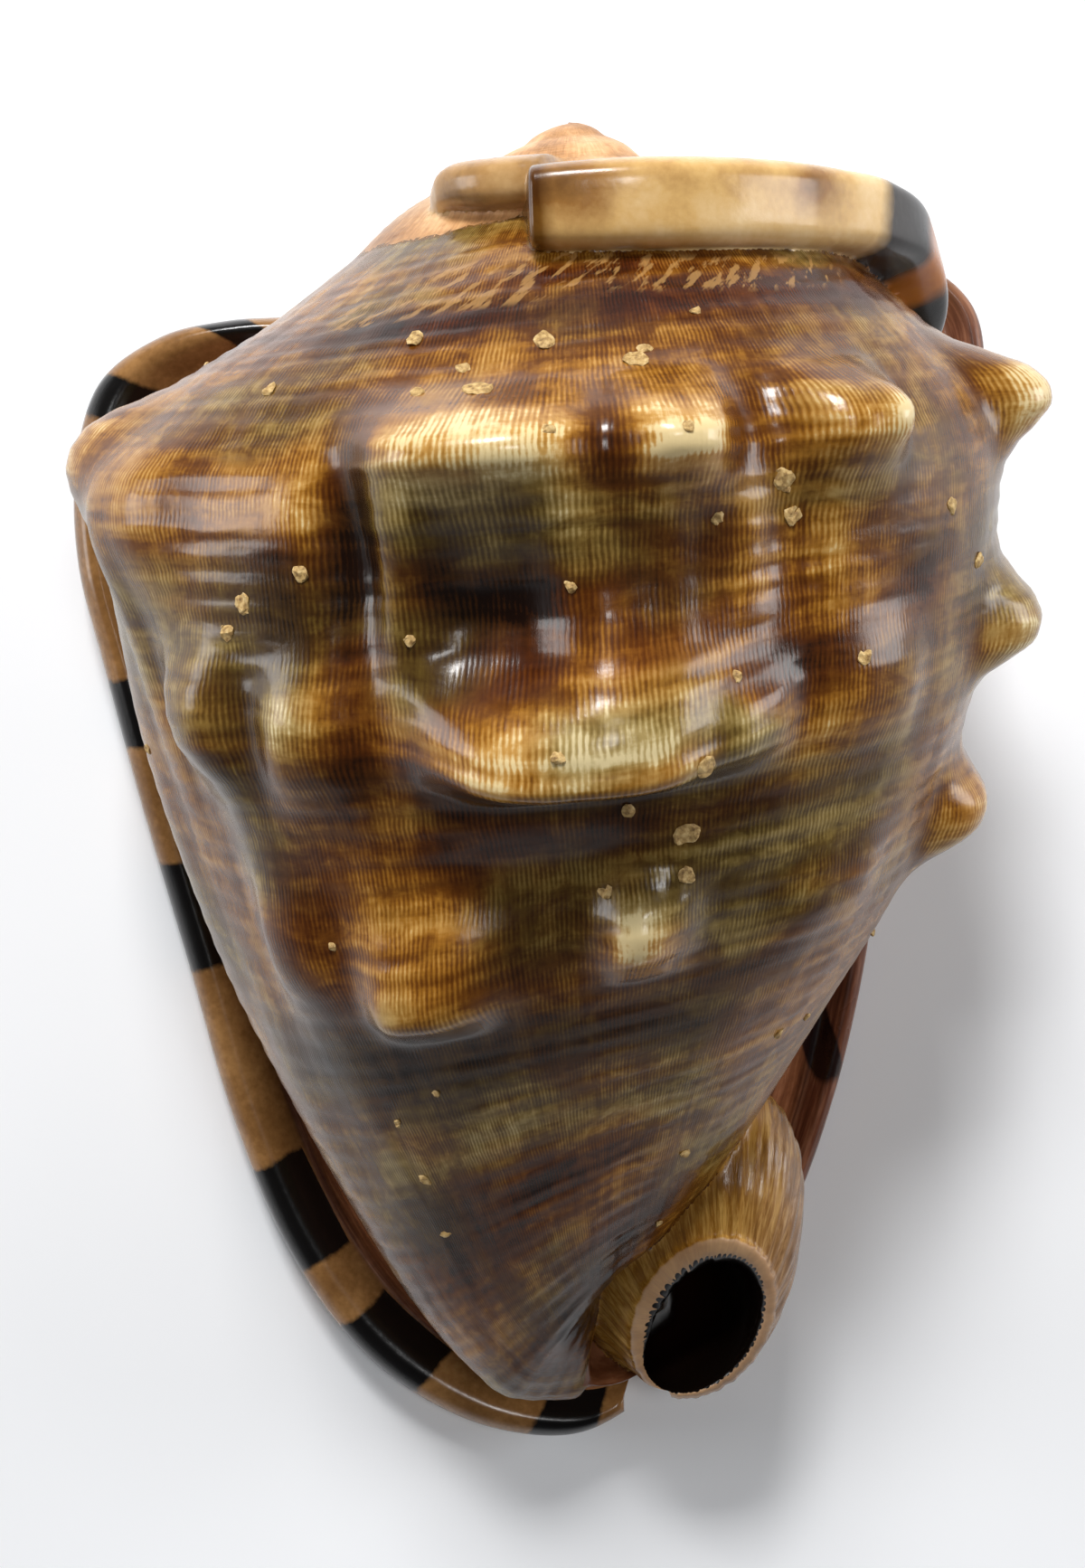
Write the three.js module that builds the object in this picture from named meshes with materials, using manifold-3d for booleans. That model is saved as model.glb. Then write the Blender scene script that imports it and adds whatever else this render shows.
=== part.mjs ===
// A large sea shell of the helmet kind, lying on its mouth: one solid grown round a leaning coil axis.
// The last turn carries three rows of knobs, the mouth is ringed by a thick lip and a flat shield,
// and the space inside runs from the slit underneath, round the coil and out at the upturned canal.
import * as THREE from 'three';
import Module from 'manifold-3d';

const wasm = await Module();
wasm.setup();

// coil axis: where the tip stands, how far the axis dips and leans
const tipX = 4;
const tipY = 100;
const tipZ = 58;
const dipDegrees = 10.3;
const leanDegrees = 2;
// how fast the shell grows in one turn, and how much slower over the last one
const growthPerTurn = 2;
const slowStart = 147;
const slowFade = 90;
// how the last turn is squashed: wider than tall
const widen = 0.12;
const flatten = 0.06;
// wall of the last turn, and the level the turns are trimmed at above the shield
const wall = 4.2;
const trimLevel = 6;
// rim of the mouth where it touches the ground, and the depth of the slit's bevel
const slitBevel = 8.5;
// finished shell: moved so the middle of its footprint is the origin
const shiftX = 2.15;
const shiftY = 7.34;

const lastTurnColumns = 56;
const lastTurnRows = 25;
const ringStations = 60;

const dip = dipDegrees * Math.PI / 180;
const lean = leanDegrees * Math.PI / 180;
const tip = [tipX, tipY, tipZ];
const across = [Math.cos(lean), Math.sin(lean), 0];
const along = [Math.sin(lean) * Math.cos(dip), -Math.cos(lean) * Math.cos(dip), -Math.sin(dip)];
const upward = [
  along[1] * across[2] - along[2] * across[1],
  along[2] * across[0] - along[0] * across[2],
  along[0] * across[1] - along[1] * across[0],
];

function smoothStep(from, to, x) {
  const t = Math.min(1, Math.max(0, (x - from) / (to - from)));
  return t * t * (3 - 2 * t);
}

function growth(turn) {
  const t = Math.max(0, turn);
  const slowed = t - slowStart * (1 - Math.exp(-t / slowFade));
  return growthPerTurn ** (-slowed / 360);
}

// a smooth curve through points of any number of values
function curve(points, count, closed = false) {
  const last = points.length - 1;
  const get = (i) => {
    if (closed) return points[(i + points.length) % points.length];
    if (i < 0) return points[0].map((v, k) => 2 * v - points[1][k]);
    if (i > last) return points[last].map((v, k) => 2 * v - points[last - 1][k]);
    return points[i];
  };
  const spans = closed ? points.length : last;
  const out = [];
  for (let n = 0; n < count; n += 1) {
    const u = n * spans / (closed ? count : count - 1);
    const i = Math.min(Math.floor(u), spans - 1);
    const t = u - i;
    const a = get(i - 1);
    const b = get(i);
    const c = get(i + 1);
    const d = get(i + 2);
    out.push(b.map((v, k) => 0.5 * (2 * v + (c[k] - a[k]) * t + (2 * a[k] - 5 * v + 4 * c[k] - d[k]) * t * t
      + (3 * v - a[k] - 3 * c[k] + d[k]) * t * t * t)));
  }
  return out;
}

function lookUp(table, keyIndex, valueIndex, key) {
  if (key <= table[0][keyIndex]) return table[0][valueIndex];
  for (let i = 1; i < table.length; i += 1) {
    if (key <= table[i][keyIndex]) {
      const before = table[i - 1];
      const t = (key - before[keyIndex]) / (table[i][keyIndex] - before[keyIndex] || 1);
      return before[valueIndex] + t * (table[i][valueIndex] - before[valueIndex]);
    }
  }
  return table[table.length - 1][valueIndex];
}

// outline of the last turn over the back: distance from the axis, drop from the tip
const outline = [
  [0, 9], [12, 10.5], [22, 13.8], [35, 20], [47, 31], [57, 43], [61, 52], [61.5, 62], [60.5, 75], [59, 88],
  [56, 101], [50.5, 118], [45, 130], [36, 146], [27, 162], [20, 172], [14, 178], [0, 181],
];
const fine = curve(outline, 600);
let run = 0;
const profile = fine.map(([radius, drop], i) => {
  if (i) run += Math.hypot(radius - fine[i - 1][0], drop - fine[i - 1][1]);
  return [run, radius, drop];
});
const profileLength = run;
const atDrop = (drop) => lookUp(profile, 2, 0, drop);

// a point of the coil: angle round the axis (0 at the lip side, 90 over the back), radius, drop
function place(turn, radius, drop) {
  const last = 1 - smoothStep(300, 480, turn);
  const a = turn * Math.PI / 180;
  const sideways = -Math.cos(a) * radius * (1 + widen * last);
  const lift = Math.sin(a) * radius * (1 - flatten * last);
  return tip.map((v, k) => v + drop * along[k] + sideways * across[k] + lift * upward[k]);
}

// the last turn swells towards the lip, more so near the base
function flare(turn, s) {
  const lip = 0.05 * (1 - smoothStep(0, 60, turn)) + 0.2 * (1 - smoothStep(-36, 2, turn));
  return 1 + lip + 0.13 * (1 - smoothStep(-36, 2, turn)) * smoothStep(130, 200, s);
}

// the base of the last turn runs further down towards the lip, and its ramp drops there
function stretch(turn, s, radius, drop) {
  const base = 24 * (1 - smoothStep(0, 105, turn)) * smoothStep(100, 215, s);
  const ramp = drop < 70 ? 6 * (1 - smoothStep(10, 110, turn)) * Math.exp(-(((radius - 37) / 13) ** 2)) : 0;
  return base + ramp;
}

// knobs: angle, drop, half width round the turn, half height above and below, height, lean to the base
const knobs = [
  [5, 44, 12, 8, 13, 7.5, 0], [26, 52, 12, 9, 12, 4, 0], [80, 45, 12.5, 6, 12, 8.5, 0],
  [99, 45, 6.5, 7, 10, 8.5, 0], [121, 45, 7, 7, 9, 8, 0], [165, 45, 8, 7, 9, 10, 0],
  [200, 45, 9, 8, 9, 7, 0], [235, 45, 9, 8, 9, 5, 0], [270, 45, 9, 8, 9, 4, 0],
  [88, 84, 17, 12, 5.5, 9.5, 0.3], [38, 82, 8, 9, 8, 5, 0.1], [56, 84, 7, 9, 8, 4, 0.1],
  [125, 84, 9, 9, 8, 2.5, 0], [163, 82, 9, 8, 7, 8, 0.1], [200, 82, 9, 8, 7, 5, 0],
  [66, 117, 9, 10, 5, 5, 0.3], [96, 112, 6, 8, 7, 4.5, 0], [125, 114, 8, 8, 7, 2, 0],
  [163, 113, 9, 8, 7, 7.5, 0.1], [200, 113, 8, 8, 7, 4, 0], [89, 64, 5, 13, 13, 2.5, 0],
  [45, 112, 7, 9, 7, 3, 0],
];

function swelling(turn, s, radius) {
  let out = 0;
  let down = 0;
  for (const [angle, drop, half, above, below, high, leaning] of knobs) {
    for (let k = 0; k < 3; k += 1) {
      const size = growthPerTurn ** -k;
      const side = Math.abs((turn - angle - 360 * k) * Math.PI / 180) * radius / size / half;
      const off = s - atDrop(drop);
      const rise = high * size * Math.exp(-(side ** 2.6) - (Math.abs(off) / (off < 0 ? above : below)) ** 2.2);
      out += rise;
      down += leaning * rise;
    }
  }
  return [out, down];
}

function coilPoint(turn, s) {
  const g = growth(turn);
  const radius = lookUp(profile, 0, 1, s);
  const drop = lookUp(profile, 0, 2, s);
  const [out, down] = swelling(turn, s, radius * g);
  const a = turn * Math.PI / 180;
  const p = place(turn, radius * g * flare(turn, s), (drop + stretch(turn, s, radius, drop)) * g);
  return p.map((v, k) => v + out * (Math.sin(a) * upward[k] - Math.cos(a) * across[k]) + down * along[k]);
}

// joins closed rings of points into a solid, capped by fans or joined end to end
function solid(rings, closed = false, firstTip = null, lastTip = null) {
  const size = rings[0].length;
  const points = rings.flat();
  const faces = [];
  const spans = closed ? rings.length : rings.length - 1;
  for (let i = 0; i < spans; i += 1) {
    const next = (i + 1) % rings.length;
    for (let j = 0; j < size; j += 1) {
      const k = (j + 1) % size;
      const [a, b, c, d] = [i * size + j, i * size + k, next * size + k, next * size + j];
      faces.push([a, b, c], [a, c, d]);
    }
  }
  if (!closed) {
    const middle = (ring) => [0, 1, 2].map((k) => ring.reduce((sum, p) => sum + p[k], 0) / size);
    const first = points.length;
    points.push(firstTip || middle(rings[0]), lastTip || middle(rings[rings.length - 1]));
    const base = (rings.length - 1) * size;
    for (let j = 0; j < size; j += 1) {
      const k = (j + 1) % size;
      faces.push([first, k, j], [first + 1, base + j, base + k]);
    }
  }
  return body(points, faces);
}

function body(points, faces) {
  let volume = 0;
  for (const [a, b, c] of faces) {
    const [p, q, r] = [points[a], points[b], points[c]];
    volume += p[0] * (q[1] * r[2] - q[2] * r[1]) + p[1] * (q[2] * r[0] - q[0] * r[2])
      + p[2] * (q[0] * r[1] - q[1] * r[0]);
  }
  const turned = volume < 0 ? faces.map(([a, b, c]) => [a, c, b]) : faces;
  return new wasm.Manifold(new wasm.Mesh({
    numProp: 3,
    vertProperties: new Float32Array(points.flat()),
    triVerts: new Uint32Array(turned.flat()),
  }));
}

// one whole turn as a solid; rows crowd where the knobs stand
function turnSolid(start, columns, rows) {
  const rings = rows.map((s) => {
    const ring = [];
    for (let j = 0; j <= columns; j += 1) {
      ring.push(coilPoint(start + 360 * j / columns, s));
    }
    return ring;
  });
  const middle = growth(start + 180);
  const drops = rings[rings.length - 1].map((p) => p.reduce((sum, v, k) => sum + (v - tip[k]) * along[k], 0));
  const low = Math.max(...drops) + 1;
  const top = tip.map((v, k) => v + outline[0][1] * middle * along[k]);
  const bottom = tip.map((v, k) => v + low * along[k]);
  return solid(rings, false, top, bottom);
}

function rowPlaces(count, end) {
  const dense = [];
  let total = 0;
  for (let i = 0; i <= 400; i += 1) {
    const s = 4 + (end - 4) * i / 400;
    let weight = 1;
    for (const drop of [44, 84, 115]) weight += 1.3 * Math.exp(-(((s - atDrop(drop)) / 11) ** 2));
    total += weight;
    dense.push([total, s]);
  }
  const first = dense[0][0];
  return Array.from({ length: count }, (_, i) => lookUp(dense, 0, 1, first + (total - first) * i / (count - 1)));
}

// super-ellipse sections along a curve; 'side' is the direction of the second half-size
function tube(path, halfA, halfB, count, around, side, power = 2) {
  const line = curve(path, count);
  const sizes = curve(halfA.map((v, i) => [v, halfB[i]]), count);
  return line.map((p, i) => {
    const before = new THREE.Vector3(...line[Math.max(0, i - 1)]);
    const travel = new THREE.Vector3(...line[Math.min(count - 1, i + 1)]).sub(before).normalize();
    const b = new THREE.Vector3(...side(i / (count - 1)));
    b.addScaledVector(travel, -b.dot(travel)).normalize();
    const a = new THREE.Vector3().crossVectors(travel, b);
    const ring = [];
    for (let j = 0; j < around; j += 1) {
      const angle = 2 * Math.PI * (j + 0.5) / around;
      const x = Math.sign(Math.cos(angle)) * Math.abs(Math.cos(angle)) ** (2 / power) * sizes[i][0];
      const y = Math.sign(Math.sin(angle)) * Math.abs(Math.sin(angle)) ** (2 / power) * sizes[i][1];
      ring.push([p[0] + a.x * x + b.x * y, p[1] + a.y * x + b.y * y, p[2] + a.z * x + b.z * y]);
    }
    return ring;
  });
}

// the rim of the mouth: outer edge, edge of the slit, height of the rim, its width,
// height and distance inwards where it meets the body
const mouth = [
  [-40, 82, -20, 64, 13, 11, 28, 14], [-55, 80.5, -22, 63, 14, 12, 28, 12], [-67, 77.5, -27, 61, 14, 12, 24, 8],
  [-77.5, 69.5, -32, 56, 13, 11, 20, 7], [-81.5, 55, -35, 46, 13, 10, 20, 7], [-81, 38, -37, 32, 13, 10, 20, 7],
  [-76.5, 20, -37.5, 17, 12.5, 10, 20, 7], [-70, -4, -37, -3, 12.5, 10, 20, 7], [-62, -31, -34, -25, 12.5, 10, 20, 7],
  [-54.5, -57, -27, -46, 12.5, 10, 20, 7], [-44.5, -81, -17, -65, 12.5, 10.5, 20, 7],
  [-31, -99.5, -6, -79, 12.5, 11, 20, 7], [-14, -110.5, 5, -88, 12.5, 10.5, 20, 7],
  [3, -113.5, 12, -92, 12.5, 9, 16, 6], [15, -109, 17, -93, 12, 7, 13, 4],
  [26, -101, 21, -90, 9, 6, 11, 4], [36, -89, 20, -84, 7, 6, 10, 5], [44.5, -74, 13, -78, 7, 6, 15, 9],
  [51, -56, 2, -68, 7, 6, 22, 12], [55.5, -38, -10, -50, 7, 6, 24, 13], [59, -18, -19, -30, 7, 6, 24, 14],
  [63, 5, -24, -8, 7, 6, 23, 15], [68, 30, -25.5, 15, 7, 6, 22, 16], [74, 54, -24.5, 34, 8, 6, 22, 17],
  [77.5, 72, -22, 48, 9, 6, 24, 20], [74.5, 85, -19, 56, 9, 6, 27, 24], [62, 92, -17, 60, 9, 7, 30, 25],
  [35, 94, -16.5, 62, 9, 8, 33, 22], [0, 92, -17, 63.5, 10, 8, 34, 20], [-22, 87, -18.5, 64, 12, 9, 30, 16],
];

function rimSolid() {
  const rings = curve(mouth, ringStations, true).map((station) => {
    const [outX, outY, slitX, slitY, high, width, apron, inward] = station;
    const reach = Math.hypot(outX - slitX, outY - slitY);
    const r = width / 2;
    const neck = reach - width;
    const section = [
      [0, slitBevel], [0.2 * reach, slitBevel * 0.42], [0.45 * reach, 1.2],
      [reach - 1.7 * r, 0], [reach - 0.7 * r, 0],
    ];
    for (const angle of [-35, 0, 45, 90]) {
      const a = angle * Math.PI / 180;
      section.push([reach - r + r * Math.cos(a), high / 2 + high / 2 * Math.sin(a)]);
    }
    section.push([neck, high * 0.66], [neck - 1.5, high * 0.66]);
    section.push([neck - 0.55 * inward, (high * 0.66 + apron) * 0.42], [neck - inward, apron]);
    section.push([0.4 * reach, apron + 9], [0, 13.5]);
    return section.map(([x, z]) => [slitX + (outX - slitX) * x / reach, slitY + (outY - slitY) * x / reach, z]);
  });
  return solid(rings, true);
}

// cutter over the slit, a little inside the rim's own edge: each section joins the lip side to the shield side
function slitCutter(low, high) {
  const edge = curve(mouth, ringStations, true).map(([outX, outY, slitX, slitY]) => {
    const reach = Math.hypot(outX - slitX, outY - slitY);
    return [slitX + 0.6 * (outX - slitX) / reach, slitY + 0.6 * (outY - slitY) / reach];
  });
  const rings = [];
  for (let i = 0; i <= 28; i += 1) {
    const lipSide = edge[i];
    const shieldSide = edge[58 - i];
    rings.push([[...lipSide, low], [...lipSide, high], [...shieldSide, high], [...shieldSide, low]]);
  }
  return solid(rings);
}

// the hollow, from inside the spire to the mouth: outer wall offset inwards, inner wall clear of the turn before
function hollow() {
  const rings = [];
  const count = 20;
  const first = 560;
  const last = -48;
  for (let i = 0; i < count; i += 1) {
    const turn = first + (last - first) * i / (count - 1);
    const g = growth(turn);
    const thick = wall * Math.sqrt(g);
    const outer = [];
    for (const drop of [50, 70, 92, 116, 138, 156]) {
      const s = atDrop(drop);
      const radius = lookUp(profile, 0, 1, s);
      outer.push([radius * g - thick, (drop + stretch(turn, s, radius, drop)) * g]);
    }
    const low = outer[0][1] + 2;
    const high = outer[5][1];
    const inner = [1, 0.8, 0.6, 0.4, 0.2, 0].map((t) => {
      const drop = low + (high - low) * t;
      const before = lookUp(profile, 2, 1, drop / (0.66 * g)) * 0.66 * g + 1.5;
      const limit = lookUp(outer, 1, 0, drop) - 5 * g;
      return [Math.min(Math.max(before, 11 * g), limit), drop];
    });
    rings.push([...outer, ...inner].map(([radius, drop]) => place(turn, radius, drop)));
  }
  return solid(rings);
}

const outwardAt = (turn) => {
  const a = turn * Math.PI / 180;
  return [0, 1, 2].map((k) => Math.sin(a) * upward[k] - Math.cos(a) * across[k]);
};

// lips of earlier growth stages left standing on the ramp: angle, radius, drop
const oldLipPath = [
  [80, 26, 16.5], [92, 26, 16.5], [110, 27, 16.5], [135, 27, 16.5], [155, 28, 17], [170, 31, 18.5],
  [183, 35, 22], [196, 41, 31], [212, 45, 43],
];
const olderLipPath = [[28, 14, 13], [42, 15, 12], [56, 17, 11.5], [84, 18, 12]];
const oldLip = solid(tube(
  oldLipPath.map(([turn, radius, drop]) => place(turn, radius, drop)),
  [5.8, 6.2, 6, 5.5, 5.5], [14.5, 14.5, 13, 10, 6], 13, 12, (t) => outwardAt(80 + 132 * t), 3.4,
));
const olderLip = solid(tube(
  olderLipPath.map(([turn, radius, drop]) => place(turn, radius, drop)),
  [3.5, 4.5, 4.5, 4], [11, 12, 12.5, 12.5], 7, 10, (t) => outwardAt(28 + 56 * t), 3,
));

// the snout that ends in the upturned canal: middle, half width, half length, slope along its length
const snoutLong = [0.376, 0.927];
const snout = solid([
  [22, -76, 5, 15, 21, 0], [23, -74, 14, 17, 25, 0.1], [23.5, -73, 23, 17.5, 26.5, 0.25],
  [24, -75.5, 30, 16.5, 24.5, 0.4], [25, -80.5, 34.5, 14, 19.5, 0.48], [25.5, -85.5, 36.5, 10.8, 15.6, 0.5],
].map(([x, y, z, wide, long, slope]) => Array.from({ length: 20 }, (_, j) => {
  const a = 2 * Math.PI * (j + 0.5) / 20;
  const u = Math.cos(a) * wide;
  const v = Math.sin(a) * long;
  return [x + snoutLong[1] * u + snoutLong[0] * v, y - snoutLong[0] * u + snoutLong[1] * v, z + slope * v];
})));
const canalPath = [[8, -66, 14], [13, -76, 16], [20, -83.5, 22], [24.3, -86.5, 30], [25.7, -87.5, 38], [26.2, -88, 60]];
const bore = solid(tube(canalPath, [5, 6.2, 7, 7.4, 7.6, 8], [7, 9.5, 11.4, 12.6, 12.9, 13.5], 9, 16, () => [...snoutLong, 0]));
// the notch where the lip ends beside the canal
const notchOutline = [[16, -88], [20.5, -91], [22.5, -104], [23, -120], [14.5, -120], [14.4, -106]];
const notch = solid([-2, 60].map((z) => notchOutline.map(([x, y]) => [x, y, z])));

// teeth: short ridges across the slit's bevel, larger on the lip than on the shield
function ridge(x, y, towardX, towardY, length, half, high) {
  const size = Math.hypot(towardX, towardY);
  const [dx, dy] = [towardX / size, towardY / size];
  const stations = [[-0.8, 7.6, 0.8], [1.5, 7.4 - high, 1], [length * 0.6, 5 - high, 1], [length, 2.6, 0.6]];
  return solid(stations.map(([t, z, wide]) => {
    const [px, py] = [x + dx * t, y + dy * t];
    return [[-1, 3], [-0.7, 0], [0.7, 0], [1, 3]].map(([w, lift]) => [
      px - dy * w * half * wide, py + dx * w * half * wide, Math.min(z + lift, 9.5),
    ]);
  }));
}

function teeth() {
  const edge = curve(mouth, 300, true);
  const out = [];
  for (let i = 0; i < 11; i += 1) {
    const [outX, outY, slitX, slitY] = edge[Math.round(48 + i * 7.2)];
    out.push(ridge(slitX, slitY, outX - slitX, outY - slitY, 12, 2.5, 2.8));
  }
  for (let i = 0; i < 14; i += 1) {
    const [outX, outY, slitX, slitY] = edge[Math.round(180 + i * 4.6)];
    out.push(ridge(slitX, slitY, outX - slitX, outY - slitY, 15, 1.6, 1.8));
  }
  return out;
}

// the turns, smallest last; only the ramp of the older ones ever shows
let shell = turnSolid(-60, lastTurnColumns, rowPlaces(lastTurnRows, profileLength - 4));
shell = shell.add(turnSolid(296, 34, rowPlaces(11, atDrop(58))));
shell = shell.add(turnSolid(653, 22, rowPlaces(8, atDrop(57))));
shell = shell.add(turnSolid(1009, 13, rowPlaces(6, atDrop(56))));

// trim the turns under the shield, then add the snout, rim and old lips
const under = [[-200, -200], [200, -200], [200, 200], [-200, 200]];
shell = shell.subtract(solid([-60, trimLevel].map((z) => under.map(([x, y]) => [x, y, z]))));
shell = shell.add(snout).add(rimSolid()).add(oldLip).add(olderLip);

// open the canal, the hollow and the slit
shell = shell.subtract(bore).subtract(notch).subtract(hollow()).subtract(slitCutter(-2, 21.7));
for (const tooth of teeth()) shell = shell.add(tooth);
shell = shell.subtract(solid([-60, 0].map((z) => under.map(([x, y]) => [x, y, z]))));

function geometryOf(manifold) {
  const mesh = manifold.getMesh();
  const positions = new Float32Array(mesh.numVert * 3);
  for (let i = 0; i < mesh.numVert; i += 1) {
    positions[3 * i] = mesh.vertProperties[i * mesh.numProp] + shiftX;
    positions[3 * i + 1] = mesh.vertProperties[i * mesh.numProp + 1] + shiftY;
    positions[3 * i + 2] = mesh.vertProperties[i * mesh.numProp + 2];
  }
  const geometry = new THREE.BufferGeometry();
  geometry.setAttribute('position', new THREE.BufferAttribute(positions, 3));
  geometry.setIndex(new THREE.BufferAttribute(new Uint32Array(mesh.triVerts), 1));
  geometry.computeVertexNormals();
  return geometry;
}

const glaze = new THREE.MeshStandardMaterial({ color: '#7a4a1e', roughness: 0.3, metalness: 0 });
const part = new THREE.Group();
const shellMesh = new THREE.Mesh(geometryOf(shell), glaze);
shellMesh.name = 'shell';
part.add(shellMesh);

export default part;
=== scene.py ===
import math

import bpy
import numpy as np
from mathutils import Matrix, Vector


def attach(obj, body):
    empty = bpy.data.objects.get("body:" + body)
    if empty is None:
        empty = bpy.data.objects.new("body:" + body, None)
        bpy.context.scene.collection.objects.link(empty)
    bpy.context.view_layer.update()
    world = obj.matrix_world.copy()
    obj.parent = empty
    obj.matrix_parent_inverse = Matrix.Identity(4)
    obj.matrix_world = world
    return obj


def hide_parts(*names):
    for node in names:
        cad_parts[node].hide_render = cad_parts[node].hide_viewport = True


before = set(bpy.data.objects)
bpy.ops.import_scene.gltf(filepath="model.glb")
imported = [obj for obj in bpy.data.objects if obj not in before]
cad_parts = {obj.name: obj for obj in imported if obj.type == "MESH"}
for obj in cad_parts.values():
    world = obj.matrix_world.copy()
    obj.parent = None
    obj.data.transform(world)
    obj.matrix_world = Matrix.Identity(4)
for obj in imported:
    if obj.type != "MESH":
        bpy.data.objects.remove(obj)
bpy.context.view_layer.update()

mm = 0.001
random = np.random.default_rng(7)
shellFinish = bpy.data.materials.new("glossyHelmetShell")  # its nodes are made further down

# the coil's measures, in millimetres and degrees
coil = {
    "tip": (4.0, 100.0, 58.0),      # where the point of the spire stands
    "dip": 10.3,                    # how far the axis sinks towards the canal
    "lean": 2.0,                    # and turns to the right
    "growthPerTurn": 2.0,
    "slowStart": 147.0,             # growth slows over the last turn
    "slowFade": 90.0,
    "widen": 0.12,
    "flatten": 0.06,
    "lastTurn": (300.0, 480.0),     # where widening and flattening fade out
    "baseDrop": 24.0,               # the base lengthens towards the lip
    "baseFade": (0.0, 105.0),
    "baseRun": (100.0, 215.0),
    "rampDrop": 6.0,                # and the ramp sinks
    "rampFade": (10.0, 110.0),
    "rampMiddle": 37.0,
    "rampHalf": 13.0,
    "rampEnd": 70.0,
    "bulge": 0.05,                  # the turn swells towards the lip, most at its base
    "lipBulge": 0.2,
    "lipBaseBulge": 0.13,
    "shift": (2.15, 7.34, 0.0),     # moves the footprint's middle to the origin
}
# outline over the back: distance from the axis, drop from the tip
outline = [
    (0, 9), (12, 10.5), (22, 13.8), (35, 20), (47, 31), (57, 43), (61, 52), (61.5, 62), (60.5, 75),
    (59, 88), (56, 101), (50.5, 118), (45, 130), (36, 146), (27, 162), (20, 172), (14, 178),
    (0, 181),
]
# knobs: angle, drop, half width round the turn, half height above, below, height, lean to the base
knobs = [
    (5, 44, 12, 8, 13, 7.5, 0), (26, 52, 12, 9, 12, 4, 0), (78.5, 45, 14, 6, 12, 9, 0),
    (99, 45, 6.5, 7, 10, 8.5, 0), (121, 45, 7, 7, 9, 8, 0), (165, 45, 8, 7, 9, 10, 0),
    (200, 45, 9, 8, 9, 7, 0), (235, 45, 9, 8, 9, 5, 0), (270, 45, 9, 8, 9, 4, 0),
    (88, 84, 17, 12, 5, 11, 0.4), (38, 82, 8, 9, 8, 5, 0.1), (56, 84, 7, 9, 8, 4, 0.1),
    (125, 84, 9, 9, 8, 2.5, 0), (163, 82, 9, 8, 7, 8, 0.1), (200, 82, 9, 8, 7, 5, 0),
    (66, 117, 9, 10, 5, 5, 0.3), (96, 112, 6, 8, 7, 4.5, 0), (125, 114, 8, 8, 7, 2, 0),
    (163, 113, 9, 8, 7, 7.5, 0.1), (200, 113, 8, 8, 7, 4, 0), (89, 64, 5, 13, 13, 2.5, 0),
    (45, 112, 7, 9, 7, 3, 0), (22, 74, 3.5, 16, 20, 1.2, 0), (70, 60, 3.5, 8, 12, 1.8, 0),
    (108, 84, 5, 6, 6, 3, 0.2), (97, 58, 3.5, 5, 16, 1.5, 0), (78, 46.5, 13.5, 3, 4, 2.2, 0),
    (100, 46.5, 5, 3, 5, 2, 0), (127, 45.5, 3.5, 3.5, 6, 2.5, 0), (90, 89, 15, 4, 3, 2.6, 0.4),
    (65, 120, 6, 5, 3, 2, 0.3), (94, 116, 3.5, 6, 3, 2.2, 0), (63, 60, 4, 12, 14, -3.6, 0),
    (80, 71, 9, 8, 6, -4, 0), (113, 62, 4, 9, 10, -2.2, 0), (82, 103, 14, 5, 6, -2.6, 0),
    (26, 100, 14, 28, 34, -4, 0),
]
knobShape = {"round": 3.2, "down": 2.5}  # higher powers give flatter tops and steeper sides

dip, lean = math.radians(coil["dip"]), math.radians(coil["lean"])
axisTip = np.array(coil["tip"]) + np.array(coil["shift"])
axisAcross = np.array([math.cos(lean), math.sin(lean), 0.0])
axisAlong = np.array([math.sin(lean) * math.cos(dip), -math.cos(lean) * math.cos(dip), -math.sin(dip)])
axisUp = np.cross(axisAlong, axisAcross)


def smoothStep(low, high, x):
    t = np.clip((np.asarray(x, float) - low) / (high - low), 0, 1)
    return t * t * (3 - 2 * t)


def growth(turn):
    t = np.maximum(np.asarray(turn, float), 0)
    return coil["growthPerTurn"] ** (-(t - coil["slowStart"] * (1 - np.exp(-t / coil["slowFade"]))) / 360)


def curve(points, count, closed=False):
    p = np.asarray(points, float)
    spans = len(p) if closed else len(p) - 1
    before, after = (p[-1:], p[:2]) if closed else (2 * p[:1] - p[1:2], 2 * p[-1:] - p[-2:-1])
    q = np.concatenate([before, p, after])
    u = np.linspace(0, spans, count, endpoint=not closed)
    i = np.minimum(u.astype(int), spans - 1)
    t = (u - i)[:, None]
    a, b, c, d = q[i], q[i + 1], q[i + 2], q[i + 3]
    return 0.5 * (2 * b + (c - a) * t + (2 * a - 5 * b + 4 * c - d) * t ** 2 + (3 * b - a - 3 * c + d) * t ** 3)


fine = curve(outline, 1600)
runAlong = np.concatenate([[0], np.cumsum(np.hypot(*np.diff(fine, axis=0).T))])
outlineLength = float(runAlong[-1])


def runAtDrop(drop):
    return np.interp(drop, fine[:, 1], runAlong)


def place(turn, radius, drop):
    turn, radius, drop = (np.asarray(v, float)[..., None] for v in (turn, radius, drop))
    last = 1 - smoothStep(*coil["lastTurn"], turn)
    a = np.radians(turn)
    return (axisTip + drop * axisAlong - np.cos(a) * radius * (1 + coil["widen"] * last) * axisAcross
            + np.sin(a) * radius * (1 - coil["flatten"] * last) * axisUp)


def outwardAt(turn):
    a = np.radians(np.asarray(turn, float))[..., None]
    return -np.cos(a) * axisAcross + np.sin(a) * axisUp


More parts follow.
